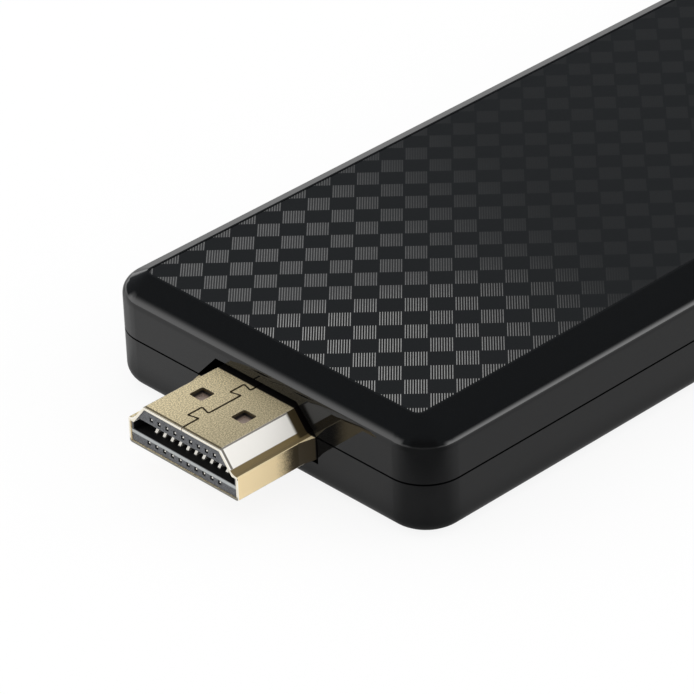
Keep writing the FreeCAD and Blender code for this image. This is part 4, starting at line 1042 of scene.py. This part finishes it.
def paleFloor(look):
    # The camera sees it white, with the object's shadow, and gloss sees what floorGloss gives.
    material, tree, shader = newFinish("pale floor")
    feedNamed(tree, shader, {
        "Base Color": rgb(*look["floorColor"]),
        "Roughness": look["floorRoughness"],
        "Specular IOR Level": 0.0,
    })
    path = addNode(tree, "ShaderNodeLightPath").outputs
    seen = path["Is Camera Ray"]
    mirrored = largest(tree, path["Is Glossy Ray"], path["Is Transmission Ray"])
    level = calc(tree, "ADD", seen, product(tree, mirrored, floorGloss(tree, look)))
    glow = addNode(tree, "ShaderNodeEmission", {"Color": grey(1), "Strength": level}).outputs[0]
    share = product(tree, largest(tree, seen, mirrored), 1 - look["shadowShare"])
    floor = mixShader(tree, share, shader.outputs[0], glow)

    # A camera under the floor looks through it.
    under = product(tree, seen, addNode(tree, "ShaderNodeNewGeometry").outputs["Backfacing"])
    clear = addNode(tree, "ShaderNodeBsdfTransparent").outputs[0]
    feed(tree, tree.nodes["Material Output"].inputs["Surface"], mixShader(tree, under, floor, clear))
    return material


def makeFloor(look):
    # A level disc, a little below the object.
    radius = look["floorRadius"]
    turns = np.linspace(0, 2 * np.pi, look["floorTurns"], endpoint=False)
    heights = np.full(look["floorTurns"], -look["floorDrop"])
    points = np.stack([radius * np.cos(turns), radius * np.sin(turns), heights], -1)
    mesh = bpy.data.meshes.new("floor")
    mesh.from_pydata(points.tolist(), [], [list(range(look["floorTurns"]))])
    mesh.materials.append(paleFloor(look))
    floor = addObject("floor", mesh)


def glowShare(tree, heading, elevation, glow, look):
    # 1 in the middle of a glow, falling softly to 0 at its borders.
    coreWidth, coreHeight = look["glowCore"]
    away = turnFrom(tree, heading, glow["heading"])
    across = falling(tree, away, coreWidth * glow["halfWidth"], glow["halfWidth"])
    half = (glow["high"] - glow["low"]) / 2
    lift = distanceFrom(tree, elevation, (glow["low"] + glow["high"]) / 2)
    return product(tree, across, falling(tree, lift, coreHeight * half, half))


def makeWorld(look):
    # The camera sees white. Gloss sees white below the horizon, the ceiling above it, and the glows.
    world = bpy.data.worlds.new("room")
    bpy.context.scene.world = world
    world.use_nodes = True
    tree = world.node_tree
    axes = split(tree, addNode(tree, "ShaderNodeTexCoord").outputs["Generated"])
    heading = headingOf(tree, axes[0], axes[1])
    elevation = calc(tree, "DEGREES", calc(tree, "ARCSINE", axes[2]))
    above = rising(tree, elevation, *look["horizon"])
    layers = [(above, rgb(*look["ceiling"]))]
    for glow in look["glows"]:
        layers.append((glowShare(tree, heading, elevation, glow, look), grey(glow["level"])))
    path = addNode(tree, "ShaderNodeLightPath").outputs
    mirrored = largest(tree, path["Is Glossy Ray"], path["Is Transmission Ray"])
    color = layered(tree, grey(look["diffuseLevel"]), [
        (mirrored, layered(tree, grey(1), layers)),
        (path["Is Camera Ray"], grey(1)),
    ])
    feed(tree, tree.nodes["Background"].inputs["Color"], color)


lamps = {
    "places": {"left lamp": (-0.50, 0.52, 0.30), "right lamp": (0.50, -0.50, 0.30)},
    "target": (0, 0, 0.01),
    "size": (0.50, 0.40),
    "radiance": 1.0,                    # of a lamp's face, where 1 is white
}


def softLamp(name, place, look):
    # A rectangular lamp. Gloss doesn't show it.
    width, height = look["size"]
    data = bpy.data.lights.new(name, "AREA")
    data.shape = "RECTANGLE"
    data.size = width
    data.size_y = height
    data.energy = look["radiance"] * math.pi * width * height
    lamp = addObject(name, data)
    lamp.location = place
    lamp.rotation_mode = "QUATERNION"
    lamp.rotation_quaternion = (Vector(look["target"]) - Vector(place)).to_track_quat("-Z", "Y")
    lamp.visible_glossy = False


makeFloor(room)
makeWorld(room)
for lampName, lampPlace in lamps["places"].items():
    softLamp(lampName, lampPlace, lamps)
print("stage: room and lamps set")


# The camera, at the photograph's viewing angle

view = {
    "place": (-0.258094, -0.243426, 0.215712),
    "forward": (0.577485, 0.619329, -0.531923),
    "rollDegrees": -2.24,
    "lens": 232.10,
    "sensor": 36.0,
    "clip": (0.01, 20.0),
}


def makeCamera(look):
    # It looks along forward, and the roll turns it about that line.
    data = bpy.data.cameras.new("camera")
    data.sensor_width = look["sensor"]
    data.lens = look["lens"]
    data.clip_start, data.clip_end = look["clip"]
    forward = Vector(look["forward"]).normalized()
    right = forward.cross(Vector((0, 0, 1))).normalized()
    up = right.cross(forward)
    roll = math.radians(look["rollDegrees"])
    turnedRight = right * math.cos(roll) + up * math.sin(roll)
    turnedUp = up * math.cos(roll) - right * math.sin(roll)
    axes = Matrix((turnedRight, turnedUp, -forward)).transposed()
    camera = addObject("camera", data)
    camera.matrix_world = Matrix.Translation(look["place"]) @ axes.to_4x4()
    bpy.context.scene.camera = camera


makeCamera(view)
bpy.context.scene.view_settings.view_transform = "Standard"
